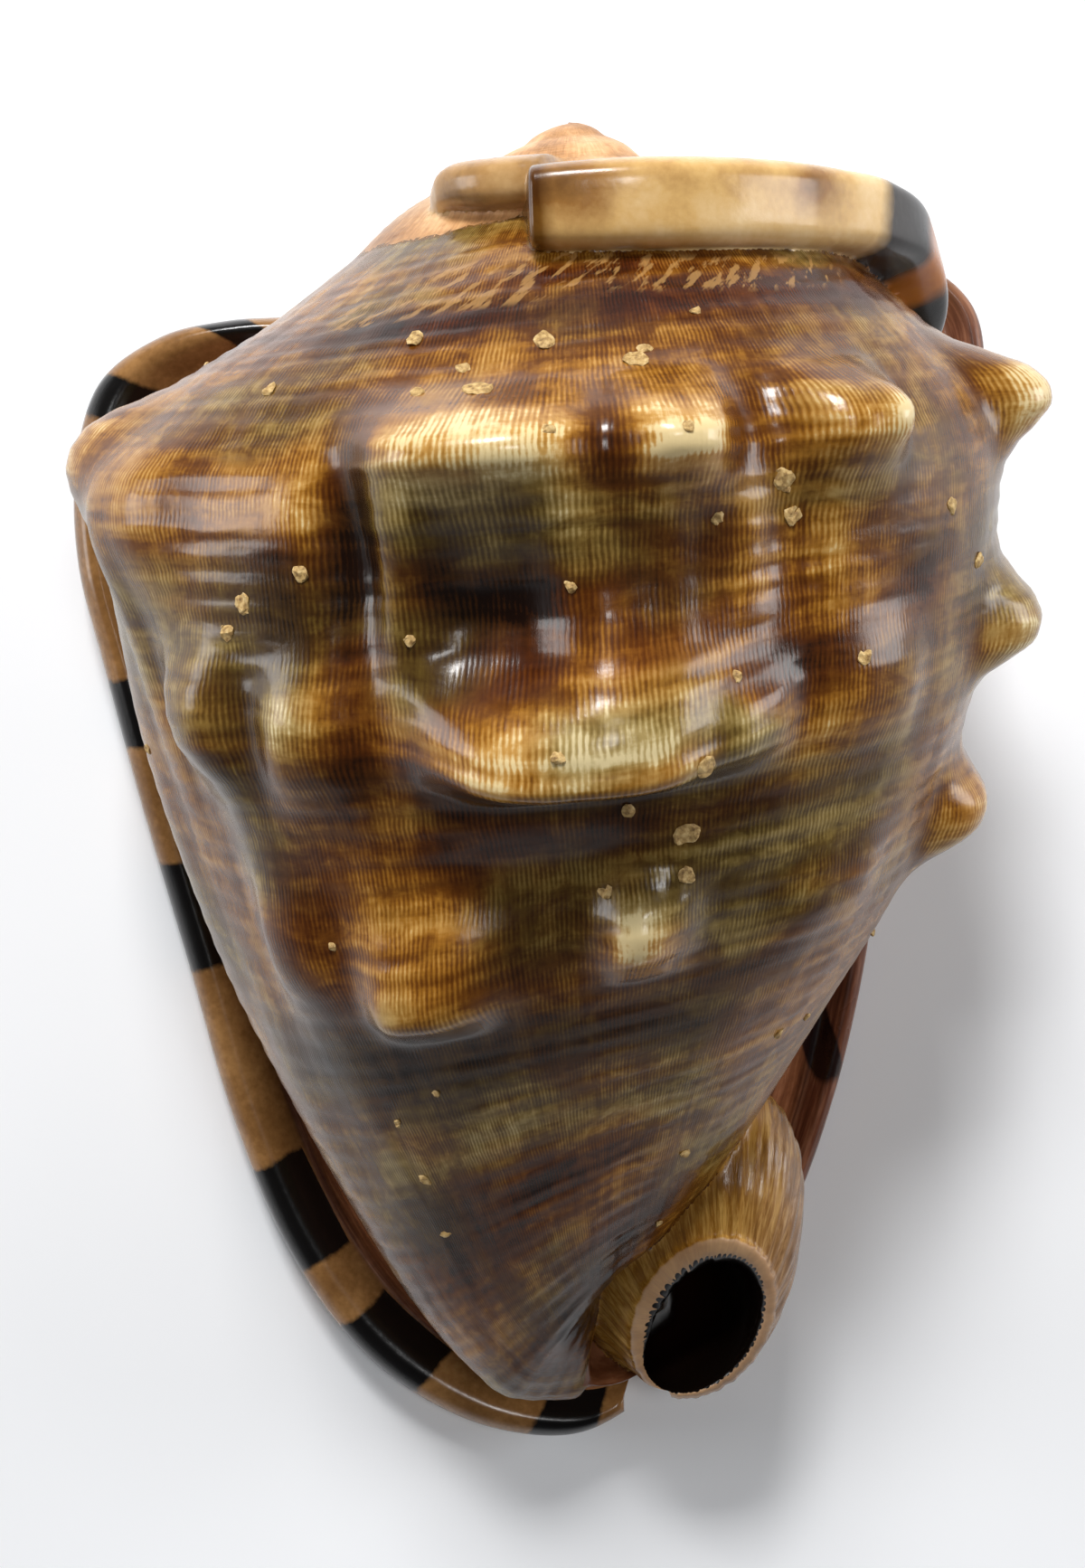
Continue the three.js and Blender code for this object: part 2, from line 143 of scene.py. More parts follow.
# a socket of a node tree that can be used in a formula
class Wire:
    def __init__(self, tree, socket):
        self.tree, self.socket = tree, socket

    def __add__(self, other):
        return calc(self.tree, "ADD", self, other)

    def __radd__(self, other):
        return calc(self.tree, "ADD", other, self)

    def __sub__(self, other):
        return calc(self.tree, "SUBTRACT", self, other)

    def __rsub__(self, other):
        return calc(self.tree, "SUBTRACT", other, self)

    def __mul__(self, other):
        return calc(self.tree, "MULTIPLY", self, other)

    def __rmul__(self, other):
        return calc(self.tree, "MULTIPLY", other, self)

    def __truediv__(self, other):
        return calc(self.tree, "DIVIDE", self, other)

    def __rtruediv__(self, other):
        return calc(self.tree, "DIVIDE", other, self)

    def __pow__(self, other):
        return calc(self.tree, "POWER", self, other)

    def __neg__(self):
        return calc(self.tree, "MULTIPLY", self, -1.0)


def feed(tree, socket, value):
    if isinstance(value, Wire):
        tree.links.new(value.socket, socket)
    elif value is not None:
        socket.default_value = value


def node(tree, kind, values=None, **settings):
    made = tree.nodes.new(kind)
    for name, value in settings.items():
        setattr(made, name, value)
    for name, value in (values or {}).items():
        feed(tree, made.inputs[name], value)
    return made


def out(tree, made, name=0):
    return Wire(tree, made.outputs[name])


def calc(tree, operation, *values):
    made = tree.nodes.new("ShaderNodeMath")
    made.operation = operation
    for socket, value in zip(made.inputs, values):
        feed(tree, socket, value)
    return Wire(tree, made.outputs[0])


def vectorCalc(tree, operation, *values):
    made = tree.nodes.new("ShaderNodeVectorMath")
    made.operation = operation
    for socket, value in zip(made.inputs, values):
        feed(tree, socket, value)
    return Wire(tree, made.outputs["Vector"])


def scaled(tree, vector, amount):
    made = tree.nodes.new("ShaderNodeVectorMath")
    made.operation = "SCALE"
    feed(tree, made.inputs[0], vector)
    feed(tree, made.inputs["Scale"], amount)
    return Wire(tree, made.outputs["Vector"])


def step(tree, low, high, value, kind="SMOOTHSTEP"):
    made = node(tree, "ShaderNodeMapRange", {"Value": value, "From Min": low, "From Max": high})
    made.interpolation_type = kind
    return Wire(tree, made.outputs["Result"])


def combined(tree, x=0.0, y=0.0, z=0.0):
    return out(tree, node(tree, "ShaderNodeCombineXYZ", {"X": x, "Y": y, "Z": z}))


def openTree(name, kind, inputs, outputs):
    tree = bpy.data.node_groups.new(name, kind)
    for direction, sockets in (("INPUT", inputs), ("OUTPUT", outputs)):
        for label, socketType, *rest in sockets:
            made = tree.interface.new_socket(label, in_out=direction, socket_type=socketType)
            if rest:
                made.default_value = rest[0]
    inputNode = tree.nodes.new("NodeGroupInput")
    outputNode = tree.nodes.new("NodeGroupOutput")

    def given(label):
        return Wire(tree, inputNode.outputs[label])

    def give(label, value):
        feed(tree, outputNode.inputs[label], value)

    return tree, given, give


def readAttribute(tree, name):
    made = node(tree, "GeometryNodeInputNamedAttribute", {"Name": name}, data_type="FLOAT")
    return Wire(tree, made.outputs["Attribute"])


def storeAttribute(tree, geometry, name, value, domain="POINT"):
    made = tree.nodes.new("GeometryNodeStoreNamedAttribute")
    made.data_type, made.domain = "FLOAT", domain
    feed(tree, made.inputs["Geometry"], geometry)
    feed(tree, made.inputs["Name"], name)
    feed(tree, made.inputs["Value"], value)
    return Wire(tree, made.outputs["Geometry"])


# a hidden helper: one point for each row, one attribute for each column
def tableMesh(name, columns, rows, points=None):
    mesh = bpy.data.meshes.new(name)
    if points is None:
        points = [(0, 0, i * mm) for i in range(len(rows))]
    mesh.from_pydata([tuple(point) for point in points], [], [])
    for i, label in enumerate(columns):
        attribute = mesh.attributes.new(label, "FLOAT", "POINT")
        attribute.data.foreach_set("value", np.array([row[i] for row in rows], np.float32))
    table = bpy.data.objects.new(name, mesh)
    bpy.context.scene.collection.objects.link(table)
    table.hide_render = True
    return table


def runTree(name, tree, settings):
    holder = bpy.data.objects.new(name, bpy.data.meshes.new(name))
    bpy.context.scene.collection.objects.link(holder)
    modifier = holder.modifiers.new(name, "NODES")
    modifier.node_group = tree
    for item in tree.interface.items_tree:
        if item.item_type == "SOCKET" and item.in_out == "INPUT" and item.name in settings:
            modifier[item.identifier] = settings[item.name]
    mesh = bpy.data.meshes.new_from_object(holder.evaluated_get(bpy.context.evaluated_depsgraph_get()))
    holder.modifiers.remove(modifier)
    holder.data = mesh
    return holder


# the coiled turns read their knobs and their outline from these two helpers
knobTable = tableMesh("knobTable", ("angle", "run", "half", "above", "below", "height", "leaning"),
                      [(a, runAtDrop(d), *rest) for a, d, *rest in knobs])
outlineTable = bpy.data.curves.new("outlineCurve", "CURVE")
outlineTable.dimensions = "3D"
outlineSpline = outlineTable.splines.new("POLY")
outlineSpline.points.add(len(fine[::4]) - 1)
for point, (radius, drop) in zip(outlineSpline.points, fine[::4]):
    point.co = (radius, drop, 0, 1)
outlineHolder = bpy.data.objects.new("outlineCurve", outlineTable)
bpy.context.scene.collection.objects.link(outlineHolder)


def growthGroup():
    tree, given, give = openTree(
        "growthAtTurn", "GeometryNodeTree",
        [("Turn", "NodeSocketFloat"), ("Growth per Turn", "NodeSocketFloat", 2.0),
         ("Slow Start", "NodeSocketFloat", 147.0), ("Slow Fade", "NodeSocketFloat", 90.0)],
        [("Growth", "NodeSocketFloat")])
    turn = calc(tree, "MAXIMUM", given("Turn"), 0.0)
    slowed = turn - given("Slow Start") * (1.0 - calc(tree, "EXPONENT", -(turn / given("Slow Fade"))))
    give("Growth", given("Growth per Turn") ** (slowed / -360.0))
    return tree


# adds up every knob of the table at each point, as the attributes lift and slump
def swellingGroup():
    tree, given, give = openTree(
        "knobSwelling", "GeometryNodeTree",
        [("Geometry", "NodeSocketGeometry"), ("Knobs", "NodeSocketObject"),
         ("Turns Back", "NodeSocketFloat", 0.0), ("Size", "NodeSocketFloat", 1.0)],
        [("Geometry", "NodeSocketGeometry")])
    table = out(tree, node(tree, "GeometryNodeObjectInfo", {"Object": given("Knobs")}), "Geometry")
    count = out(tree, node(tree, "GeometryNodeAttributeDomainSize", {"Geometry": table}), "Point Count")
    start = storeAttribute(tree, given("Geometry"), "lift", 0.0)
    start = storeAttribute(tree, start, "slump", 0.0)
    first = tree.nodes.new("GeometryNodeRepeatInput")
    last = tree.nodes.new("GeometryNodeRepeatOutput")
    first.pair_with_output(last)
    feed(tree, first.inputs["Iterations"], count)
    feed(tree, first.inputs["Geometry"], start)
    knobNumber = Wire(tree, first.outputs["Iteration"])

    def value(label):
        sample = tree.nodes.new("GeometryNodeSampleIndex")
        sample.data_type = "FLOAT"
        feed(tree, sample.inputs["Geometry"], table)
        feed(tree, sample.inputs["Value"], readAttribute(tree, label))
        feed(tree, sample.inputs["Index"], knobNumber)
        return Wire(tree, sample.outputs["Value"])

    turn, run, reach = (readAttribute(tree, label) for label in ("turn", "run", "reach"))
    size = given("Size")
    apart = (turn - value("angle") - given("Turns Back") * 360.0) * (math.pi / 180) * reach
    side = calc(tree, "ABSOLUTE", apart / (value("half") * size))
    off = run - value("run")
    isAbove = calc(tree, "LESS_THAN", off, 0.0)
    wide = value("above") * isAbove + value("below") * (1.0 - isAbove)
    fade = side ** knobShape["round"] + calc(tree, "ABSOLUTE", off / wide) ** knobShape["down"]
    rise = value("height") * size * calc(tree, "EXPONENT", -fade)
    more = Wire(tree, first.outputs["Geometry"])
    more = storeAttribute(tree, more, "lift", readAttribute(tree, "lift") + rise)
    more = storeAttribute(tree, more, "slump", readAttribute(tree, "slump") + rise * value("leaning"))
    feed(tree, last.inputs["Geometry"], more)
    give("Geometry", Wire(tree, last.outputs["Geometry"]))
    return tree


def coiledTurnTree(growthTree, swellingTree):
    tree, given, give = openTree(
        "coiledTurn", "GeometryNodeTree",
        [("Outline", "NodeSocketObject"), ("Knobs", "NodeSocketObject"),
         ("Start Turn", "NodeSocketFloat", -60.0), ("Columns", "NodeSocketInt", 240),
         ("Rows", "NodeSocketInt", 220), ("Start Run", "NodeSocketFloat", 4.0),
         ("End Run", "NodeSocketFloat", 230.0), ("Turns Back", "NodeSocketFloat", 0.0),
         ("Growth per Turn", "NodeSocketFloat", 2.0), ("Slow Start", "NodeSocketFloat", 147.0),
         ("Slow Fade", "NodeSocketFloat", 90.0), ("Widen", "NodeSocketFloat", 0.12),
         ("Flatten", "NodeSocketFloat", 0.06),
         ("Cord Spacing", "NodeSocketFloat", 3.6), ("Cord Height", "NodeSocketFloat", 0.12),
         ("Growth Step Height", "NodeSocketFloat", 0.16), ("Wobble", "NodeSocketFloat", 0.35),
         ("Tip", "NodeSocketVector"), ("Across", "NodeSocketVector"), ("Along", "NodeSocketVector"),
         ("Upward", "NodeSocketVector"), ("Material", "NodeSocketMaterial")],
        [("Geometry", "NodeSocketGeometry")])
    # a closed drum of rows and columns; each point learns its turn and its run down the outline
    drum = node(tree, "GeometryNodeMeshCylinder", {"Vertices": given("Columns"), "Side Segments": given("Rows"),
                                                   "Radius": 1.0, "Depth": 2.0}, fill_type="TRIANGLE_FAN")
    drumPlace = node(tree, "ShaderNodeSeparateXYZ")
    tree.links.new(tree.nodes.new("GeometryNodeInputPosition").outputs[0], drumPlace.inputs[0])
    x, y, z = (out(tree, drumPlace, k) for k in range(3))
    isPole = calc(tree, "LESS_THAN", x * x + y * y, 0.25)
    angle = calc(tree, "FRACT", calc(tree, "ARCTAN2", y, x) / (2 * math.pi) + 1.0001) - 0.0001
    share = calc(tree, "ROUND", angle * given("Columns")) / (given("Columns") - 1.0)
    turn = given("Start Turn") + share * 360.0
    turn = turn * (1.0 - isPole) + (given("Start Turn") + 180.0) * isPole
    down = (1.0 - z) * 0.5
    run = given("Start Run") + down * (given("End Run") - given("Start Run"))
    isTop = calc(tree, "GREATER_THAN", z, 0.0)
    run = run * (1.0 - isPole * isTop)
    made = storeAttribute(tree, out(tree, drum, "Mesh"), "turn", turn)
    made = storeAttribute(tree, made, "run", run)
    made = storeAttribute(tree, made, "pole", isPole)
    turn, run, pole = (readAttribute(tree, label) for label in ("turn", "run", "pole"))

    grown = node(tree, "GeometryNodeGroup", node_tree=growthTree)
    feed(tree, grown.inputs["Turn"], turn)
    for label in ("Growth per Turn", "Slow Start", "Slow Fade"):
        feed(tree, grown.inputs[label], given(label))
    g = out(tree, grown)
    outlineInfo = out(tree, node(tree, "GeometryNodeObjectInfo", {"Object": given("Outline")}), "Geometry")
    sample = tree.nodes.new("GeometryNodeSampleCurve")
    sample.mode = "LENGTH"
    feed(tree, sample.inputs["Curves"], outlineInfo)
    feed(tree, sample.inputs["Length"], run)
    profile = node(tree, "ShaderNodeSeparateXYZ")
    tree.links.new(sample.outputs["Position"], profile.inputs[0])
    radius, drop = Wire(tree, profile.outputs[0]), Wire(tree, profile.outputs[1])

    # the ramp sinks and the base lengthens towards the lip, where the turn also swells
    toLip = 1.0 - step(tree, *coil["baseFade"], turn)
    ramp = (1.0 - step(tree, *coil["rampFade"], turn)) * calc(
        tree, "EXPONENT", -(((radius - coil["rampMiddle"]) / coil["rampHalf"]) ** 2.0))
    onRamp = calc(tree, "LESS_THAN", drop, coil["rampEnd"])
    drop = (drop + coil["baseDrop"] * toLip * step(tree, *coil["baseRun"], run)
            + coil["rampDrop"] * ramp * onRamp)
    lipward = 1.0 - step(tree, -36.0, 2.0, turn)
    flare = (1.0 + coil["bulge"] * (1.0 - step(tree, 0.0, 60.0, turn))
             + lipward * (coil["lipBulge"] + coil["lipBaseBulge"] * step(tree, 130.0, 200.0, run)))
    made = storeAttribute(tree, made, "reach", radius * g)
    swell = node(tree, "GeometryNodeGroup", node_tree=swellingTree)
    for label, value in (("Geometry", made), ("Knobs", given("Knobs")), ("Turns Back", given("Turns Back")),
                         ("Size", given("Growth per Turn") ** (-given("Turns Back")))):
        feed(tree, swell.inputs[label], value)
    made = out(tree, swell)

    last = 1.0 - step(tree, *coil["lastTurn"], turn)
    a = turn * (math.pi / 180)
    sine, cosine = calc(tree, "SINE", a), calc(tree, "COSINE", a)
    width = radius * g * flare * (1.0 - pole)
    point = vectorCalc(tree, "ADD", given("Tip"), scaled(
        tree, given("Along"), drop * g + readAttribute(tree, "slump")))
    lift = readAttribute(tree, "lift") * (1.0 - pole)
    point = vectorCalc(tree, "ADD", point, scaled(
        tree, given("Across"), -cosine * (width * (1.0 + given("Widen") * last) + lift)))
    point = vectorCalc(tree, "ADD", point, scaled(
        tree, given("Upward"), sine * (width * (1.0 - given("Flatten") * last) + lift)))
    placed = node(tree, "GeometryNodeSetPosition", {"Geometry": made, "Position": point})

    # fine relief along the normal: cords round the turn, growth steps down it, a slow wobble
    where = node(tree, "ShaderNodeCombineXYZ", {"X": turn * 0.055, "Y": run * 0.02})
    wobble = node(tree, "ShaderNodeTexNoise", {"Scale": 1.6, "Detail": 2.0})
    tree.links.new(where.outputs[0], wobble.inputs["Vector"])
    wave = calc(tree, "COSINE", run / given("Cord Spacing") * (2 * math.pi)
                + 3.0 * (out(tree, wobble, 0) - 0.5))
    cordPlace = node(tree, "ShaderNodeTexNoise", {"Scale": 0.9, "Detail": 3.0})
    tree.links.new(where.outputs[0], cordPlace.inputs["Vector"])
    cords = wave * given("Cord Height") * step(tree, 0.35, 0.62, out(tree, cordPlace, 0), "LINEAR")
    stepPlace = node(tree, "ShaderNodeCombineXYZ", {"X": (turn + 0.02 * run) * 0.55, "Y": run * 0.012})
    steps = node(tree, "ShaderNodeTexNoise", {"Scale": 1.0, "Detail": 4.0, "Roughness": 0.6})
    tree.links.new(stepPlace.outputs[0], steps.inputs["Vector"])
    relief = (cords + (out(tree, steps, 0) - 0.5) * 2.0 * given("Growth Step Height")
              + (out(tree, wobble, 0) - 0.5) * 2.0 * given("Wobble")) * g * (1.0 - pole)
    relief = relief * step(tree, 3.0, 12.0, run)
    normal = Wire(tree, tree.nodes.new("GeometryNodeInputNormal").outputs[0])
    raised = node(tree, "GeometryNodeSetPosition", {"Geometry": out(tree, placed),
                                                    "Offset": scaled(tree, normal, relief)})
    zoned = storeAttribute(tree, out(tree, raised), "zone", 1.0)
    small = node(tree, "GeometryNodeTransform", {"Geometry": zoned, "Scale": (mm, mm, mm)})
    whole = node(tree, "GeometryNodeRealizeInstances", {"Geometry": out(tree, small)})
    finish = node(tree, "GeometryNodeSetMaterial", {"Geometry": out(tree, whole),
                                                    "Material": given("Material")})
    give("Geometry", out(tree, finish))
    return tree


def positions(mesh):
    points = np.empty(len(mesh.vertices) * 3)
    mesh.vertices.foreach_get("co", points)
    return points.reshape(-1, 3)


def signedVolume(mesh):
    verts = positions(mesh) / mm
    mesh.calc_loop_triangles()
    tris = np.empty(len(mesh.loop_triangles) * 3, np.int64)
    mesh.loop_triangles.foreach_get("vertices", tris)
    a, b, c = (verts[tris.reshape(-1, 3)[:, k]] for k in range(3))
    return float(np.einsum("ij,ij->i", a, np.cross(b, c)).sum() / 6)


def faceOut(thing):
    if signedVolume(thing.data) < 0:
        thing.data.flip_normals()
    return thing


turnTree = coiledTurnTree(growthGroup(), swellingGroup())
turnParts = {
    "last": {"start": -60.0, "columns": 250, "rows": 232, "end": outlineLength - 4, "back": 0},
    "second": {"start": 296.0, "columns": 150, "rows": 60, "end": float(runAtDrop(58)), "back": 1},
    "third": {"start": 653.0, "columns": 90, "rows": 40, "end": float(runAtDrop(57)), "back": 2},
    "fourth": {"start": 1009.0, "columns": 50, "rows": 26, "end": float(runAtDrop(56)), "back": 3},
}
turns = {}
for name, part in turnParts.items():
    turns[name] = faceOut(runTree("turn_" + name, turnTree, {
        "Outline": outlineHolder, "Knobs": knobTable, "Start Turn": part["start"], "Columns": part["columns"],
        "Rows": part["rows"], "End Run": part["end"], "Turns Back": float(part["back"]),
        "Growth per Turn": coil["growthPerTurn"], "Slow Start": coil["slowStart"],
        "Slow Fade": coil["slowFade"], "Widen": coil["widen"], "Flatten": coil["flatten"],
        "Tip": axisTip, "Across": axisAcross, "Along": axisAlong, "Upward": axisUp,
        "Material": shellFinish}))
    print("turn", name, len(turns[name].data.polygons))


# rings of points joined into a closed piece; turn and run follow the two ways over its surface
def loft(name, rings, zone, closed=False, tips=None, along=None, section=None):
    rings = np.asarray(rings, float)
    count, size = rings.shape[:2]
    points = rings.reshape(-1, 3)
    i, j = np.meshgrid(np.arange(count if closed else count - 1), np.arange(size), indexing="ij")
    i, j = i.ravel(), j.ravel()
    k, nextRing = (j + 1) % size, (i + 1) % count
    faces = np.stack([i * size + j, i * size + k, nextRing * size + k, nextRing * size + j], axis=1).tolist()
    along = np.linspace(0, 1, count) if along is None else np.asarray(along, float)
    section = np.linspace(0, 1, size) if section is None else np.asarray(section, float)
    alongAll = np.repeat(along, size) if along.ndim == 1 else along.ravel()
    sectionAll = np.tile(section, count)
    if not closed:
        first, last = tips or (rings[0].mean(0), rings[-1].mean(0))
        start, base = len(points), (count - 1) * size
        points = np.concatenate([points, [first, last]])
        alongAll = np.concatenate([alongAll, [alongAll[0], alongAll[-1]]])
        sectionAll = np.concatenate([sectionAll, [0.5, 0.5]])
        for n in range(size):
            m = (n + 1) % size
            faces += [[start, m, n], [start + 1, base + n, base + m]]
    mesh = bpy.data.meshes.new(name)
    mesh.from_pydata((points * mm).tolist(), [], faces)
    for label, values in (("turn", alongAll), ("run", sectionAll), ("zone", np.full(len(points), float(zone)))):
        mesh.attributes.new(label, "FLOAT", "POINT").data.foreach_set("value", values.astype(np.float32))
    thing = bpy.data.objects.new(name, mesh)
    bpy.context.scene.collection.objects.link(thing)
    return faceOut(thing)


def unit(v):
    return v / np.linalg.norm(v, axis=-1, keepdims=True)


# super-ellipse sections along a curve; side is the direction of the second half-size
def tube(path, halfA, halfB, count, sides, side, power=2.0):
    line = curve(path, count)
    sizes = curve(np.stack([halfA, halfB], axis=1), count)
    travel = unit(np.gradient(line, axis=0))
    b = np.asarray([side(t) for t in np.linspace(0, 1, count)]).reshape(count, 3)
    b = unit(b - travel * np.sum(b * travel, axis=1, keepdims=True))
    a = np.cross(travel, b)
    angle = 2 * np.pi * (np.arange(sides) + 0.5) / sides
    x = np.sign(np.cos(angle)) * np.abs(np.cos(angle)) ** (2 / power)
    y = np.sign(np.sin(angle)) * np.abs(np.sin(angle)) ** (2 / power)
    return (line[:, None] + a[:, None] * (x * sizes[:, :1])[..., None]
            + b[:, None] * (y * sizes[:, 1:])[..., None])


# closes a tube with a rounded end: rings that shrink while they bulge along the way out
def roundEnds(rings, reach, steps=7):
    rings = np.asarray(rings)

    def cap(ring, inner):
        middle = ring.mean(0)
        way = unit(middle - inner.mean(0))
        shares = np.linspace(0, 1, steps + 1)[1:-1]
        made = [middle + (ring - middle) * math.sqrt(1 - u ** 2.4) + way * reach * u ** 0.9 for u in shares]
        return made, middle + way * reach

    first, firstTip = cap(rings[0], rings[2])
    last, lastTip = cap(rings[-1], rings[-3])
    return np.concatenate([np.array(first[::-1]), rings, np.array(last)]), (firstTip, lastTip)


shift = np.array(coil["shift"])

# the rim of the mouth: outer edge, edge of the slit, height of the rim, its width,
# height and distance inwards where it meets the body
mouth = [
    (-40, 82, -20, 64, 13, 11, 28, 14), (-55, 80.5, -22, 63, 14, 12, 28, 12),
    (-67, 77.5, -27, 61, 14, 12, 24, 8), (-77.5, 69.5, -32, 56, 13, 11, 20, 7),
    (-81.5, 55, -35, 46, 13, 10, 20, 7), (-81, 38, -37, 32, 13, 10, 20, 7),
    (-76.5, 20, -37.5, 17, 12.5, 10, 20, 7), (-70, -4, -37, -3, 12.5, 10, 20, 7),
    (-62, -31, -34, -25, 12.5, 10, 20, 7), (-54.5, -57, -27, -46, 12.5, 10, 20, 7),
    (-44.5, -81, -17, -65, 12.5, 10.5, 20, 7), (-31, -99.5, -6, -79, 12.5, 11, 20, 7),
    (-14, -110.5, 5, -88, 12.5, 10.5, 20, 7), (3, -113.5, 12, -92, 12.5, 9, 16, 6),
    (15, -109, 17, -93, 12, 7, 13, 4), (26, -101, 21, -90, 9, 6, 11, 4),
    (36, -89, 20, -84, 7, 6, 10, 5), (44.5, -74, 13, -78, 7, 6, 15, 9),
    (51, -56, 2, -68, 7, 6, 22, 12), (55.5, -38, -10, -50, 7, 6, 24, 13),
    (59, -18, -19, -30, 7, 6, 24, 14), (63, 5, -24, -8, 7, 6, 23, 15),
    (68, 30, -25.5, 15, 7, 6, 22, 16), (74, 54, -24.5, 34, 8, 6, 22, 17),
    (77.5, 72, -22, 48, 9, 6, 24, 20), (74.5, 85, -19, 56, 9, 6, 27, 24),
    (62, 92, -17, 60, 9, 7, 30, 25), (35, 94, -16.5, 62, 9, 8, 33, 22),
    (0, 92, -17, 63.5, 10, 8, 34, 20), (-22, 87, -18.5, 64, 12, 9, 30, 16),
]
rim = {
    "stations": 420, "slitBevel": 8.5, "neckShare": 0.66, "smoothing": 3,
    "rowsPerLeg": (7, 8, 12, 5, 9, 5, 3, 5, 5, 7, 9, 3),
}


def rimRings():
    rings, sections = [], None
    for outX, outY, slitX, slitY, high, width, apron, inward in curve(mouth, rim["stations"], True):
        reach = math.hypot(outX - slitX, outY - slitY)
        r, neck, bevel = width / 2, reach - width, rim["slitBevel"]
        roll = [(reach - r + r * math.cos(a), high / 2 + high / 2 * math.sin(a))
                for a in np.radians(np.linspace(-35, 90, 10))]
        neckHigh = high * rim["neckShare"]
        chamfer, sole, foot = (0.2 * reach, bevel * 0.42), (0.45 * reach, 1.2), (reach - 1.7 * r, 0)
        groove, ledge = (neck, neckHigh), (neck - 1.5, neckHigh)
        hollowed = (neck - 0.55 * inward, (neckHigh + apron) * 0.42)
        joint, inside, top = (neck - inward, apron), (0.4 * reach, apron + 9), (0, 13.5)
        # from the edge of the slit, under the rim, round the roll, over the apron and back
        legs = [[(0, bevel), chamfer], [chamfer, sole], [sole, foot],
                [foot, (reach - 0.7 * r, 0), roll[0]], roll, [roll[-1], groove],
                [groove, ledge], [ledge, hollowed], [hollowed, joint], [joint, inside], [inside, top],
                [top, (0, bevel)]]
        points, places = [], []
        for n, (leg, rows) in enumerate(zip(legs, rim["rowsPerLeg"])):
            leg = np.array(leg)
            at = np.linspace(0, 1, rows, endpoint=False)
            own = np.linspace(0, 1, len(leg))
            points.append(np.stack([np.interp(at, own, leg[:, k]) for k in range(2)], axis=1))
            places.append(n + at)
        points, sections = np.concatenate(points), np.concatenate(places)
        for _ in range(rim["smoothing"]):
            smooth = 0.5 * points + 0.25 * (np.roll(points, 1, 0) + np.roll(points, -1, 0))
            points[1:-3] = smooth[1:-3]
        x, z = points[:, :1], points[:, 1:]
        rings.append(np.hstack([slitX + (outX - slitX) * x / reach,
                                slitY + (outY - slitY) * x / reach, z]) + shift)
    return np.array(rings), sections


# walls between each point of the lip's edge of the slit and the one opposite, on the shield's edge
def slitCutterRings(low, high):
    stations = rim["stations"]
    edge = curve(mouth, stations, True)
    reach = np.hypot(edge[:, 0] - edge[:, 2], edge[:, 1] - edge[:, 3])[:, None]
    edge = edge[:, 2:4] + 0.6 * (edge[:, :2] - edge[:, 2:4]) / reach + shift[:2]
    rings = []
    for i in range(0, stations * 28 // 60 + 1, 2):
        a, b = edge[i], edge[stations * 58 // 60 - i]
        rings.append([(*a, low), (*a, high), (*b, high), (*b, low)])
    return rings


hollow = {
    "turns": (560, -48), "sections": 76, "drops": (50, 156), "rows": 22,
    "wall": 4.2, "turnBefore": 0.66, "innerWall": 1.5, "core": 11, "leastWide": 5,
}


def hollowRings():
    rings = []
    for turn in np.linspace(*hollow["turns"], hollow["sections"]):
        g = float(growth(turn))
        drops = np.linspace(*hollow["drops"], hollow["rows"])
        radius = np.interp(drops, fine[:, 1], fine[:, 0])
        run = runAtDrop(drops)
        base = coil["baseDrop"] * (1 - smoothStep(*coil["baseFade"], turn)) * smoothStep(*coil["baseRun"], run)
        ramp = (coil["rampDrop"] * (1 - smoothStep(*coil["rampFade"], turn))
                * np.exp(-((radius - coil["rampMiddle"]) / coil["rampHalf"]) ** 2) * (drops < coil["rampEnd"]))
        outerRadius = radius * g - hollow["wall"] * math.sqrt(g)
        outerDrop = (drops + base + ramp) * g
        drop = np.linspace(outerDrop[-1], outerDrop[0] + 2, hollow["rows"])
        # the inner side keeps off the turn before and off the axis
        before = np.interp(drop / (hollow["turnBefore"] * g), fine[:, 1], fine[:, 0])
        before = before * hollow["turnBefore"] * g + hollow["innerWall"]
        farthest = np.interp(drop, outerDrop, outerRadius) - hollow["leastWide"] * g
        innerRadius = np.minimum(np.maximum(before, hollow["core"] * g), farthest)
        rings.append(place(turn, np.concatenate([outerRadius, innerRadius]),
                           np.concatenate([outerDrop, drop])))
    return rings


oldLip = {
    # angle, radius, drop along the block-like lip left standing on the ramp
    "path": [(80, 26, 16.5), (92, 26, 16.5), (110, 27, 16.5), (135, 27, 16.5), (155, 29, 17), (170, 34, 18.5),
             (183, 40, 22), (196, 46.5, 30), (212, 49, 43)],
    "halfAlong": [5.8, 6.2, 6.4, 6.3, 6.1, 5.8, 5.5, 5.5, 5.5],
    "halfOut": [14.5, 14.8, 14.6, 14.2, 13.6, 12.4, 10.5, 8, 6],
    "power": 5.0, "count": 150, "sides": 72, "turns": (80, 212),
}
olderLip = {
    "path": [(44, 14, 13), (54, 16, 12), (66, 17.5, 12), (84, 18, 12)],
    "halfAlong": [2.6, 3.6, 4, 4], "halfOut": [9, 11, 12, 12.5],
    "power": 3.2, "count": 60, "sides": 44, "turns": (44, 84),
}


def lipRings(lip):
    first, last = lip["turns"]
    path = [place(turn, radius, drop) for turn, radius, drop in lip["path"]]
    return tube(path, lip["halfAlong"], lip["halfOut"], lip["count"], lip["sides"],
                lambda t: outwardAt(first + (last - first) * t), lip["power"])


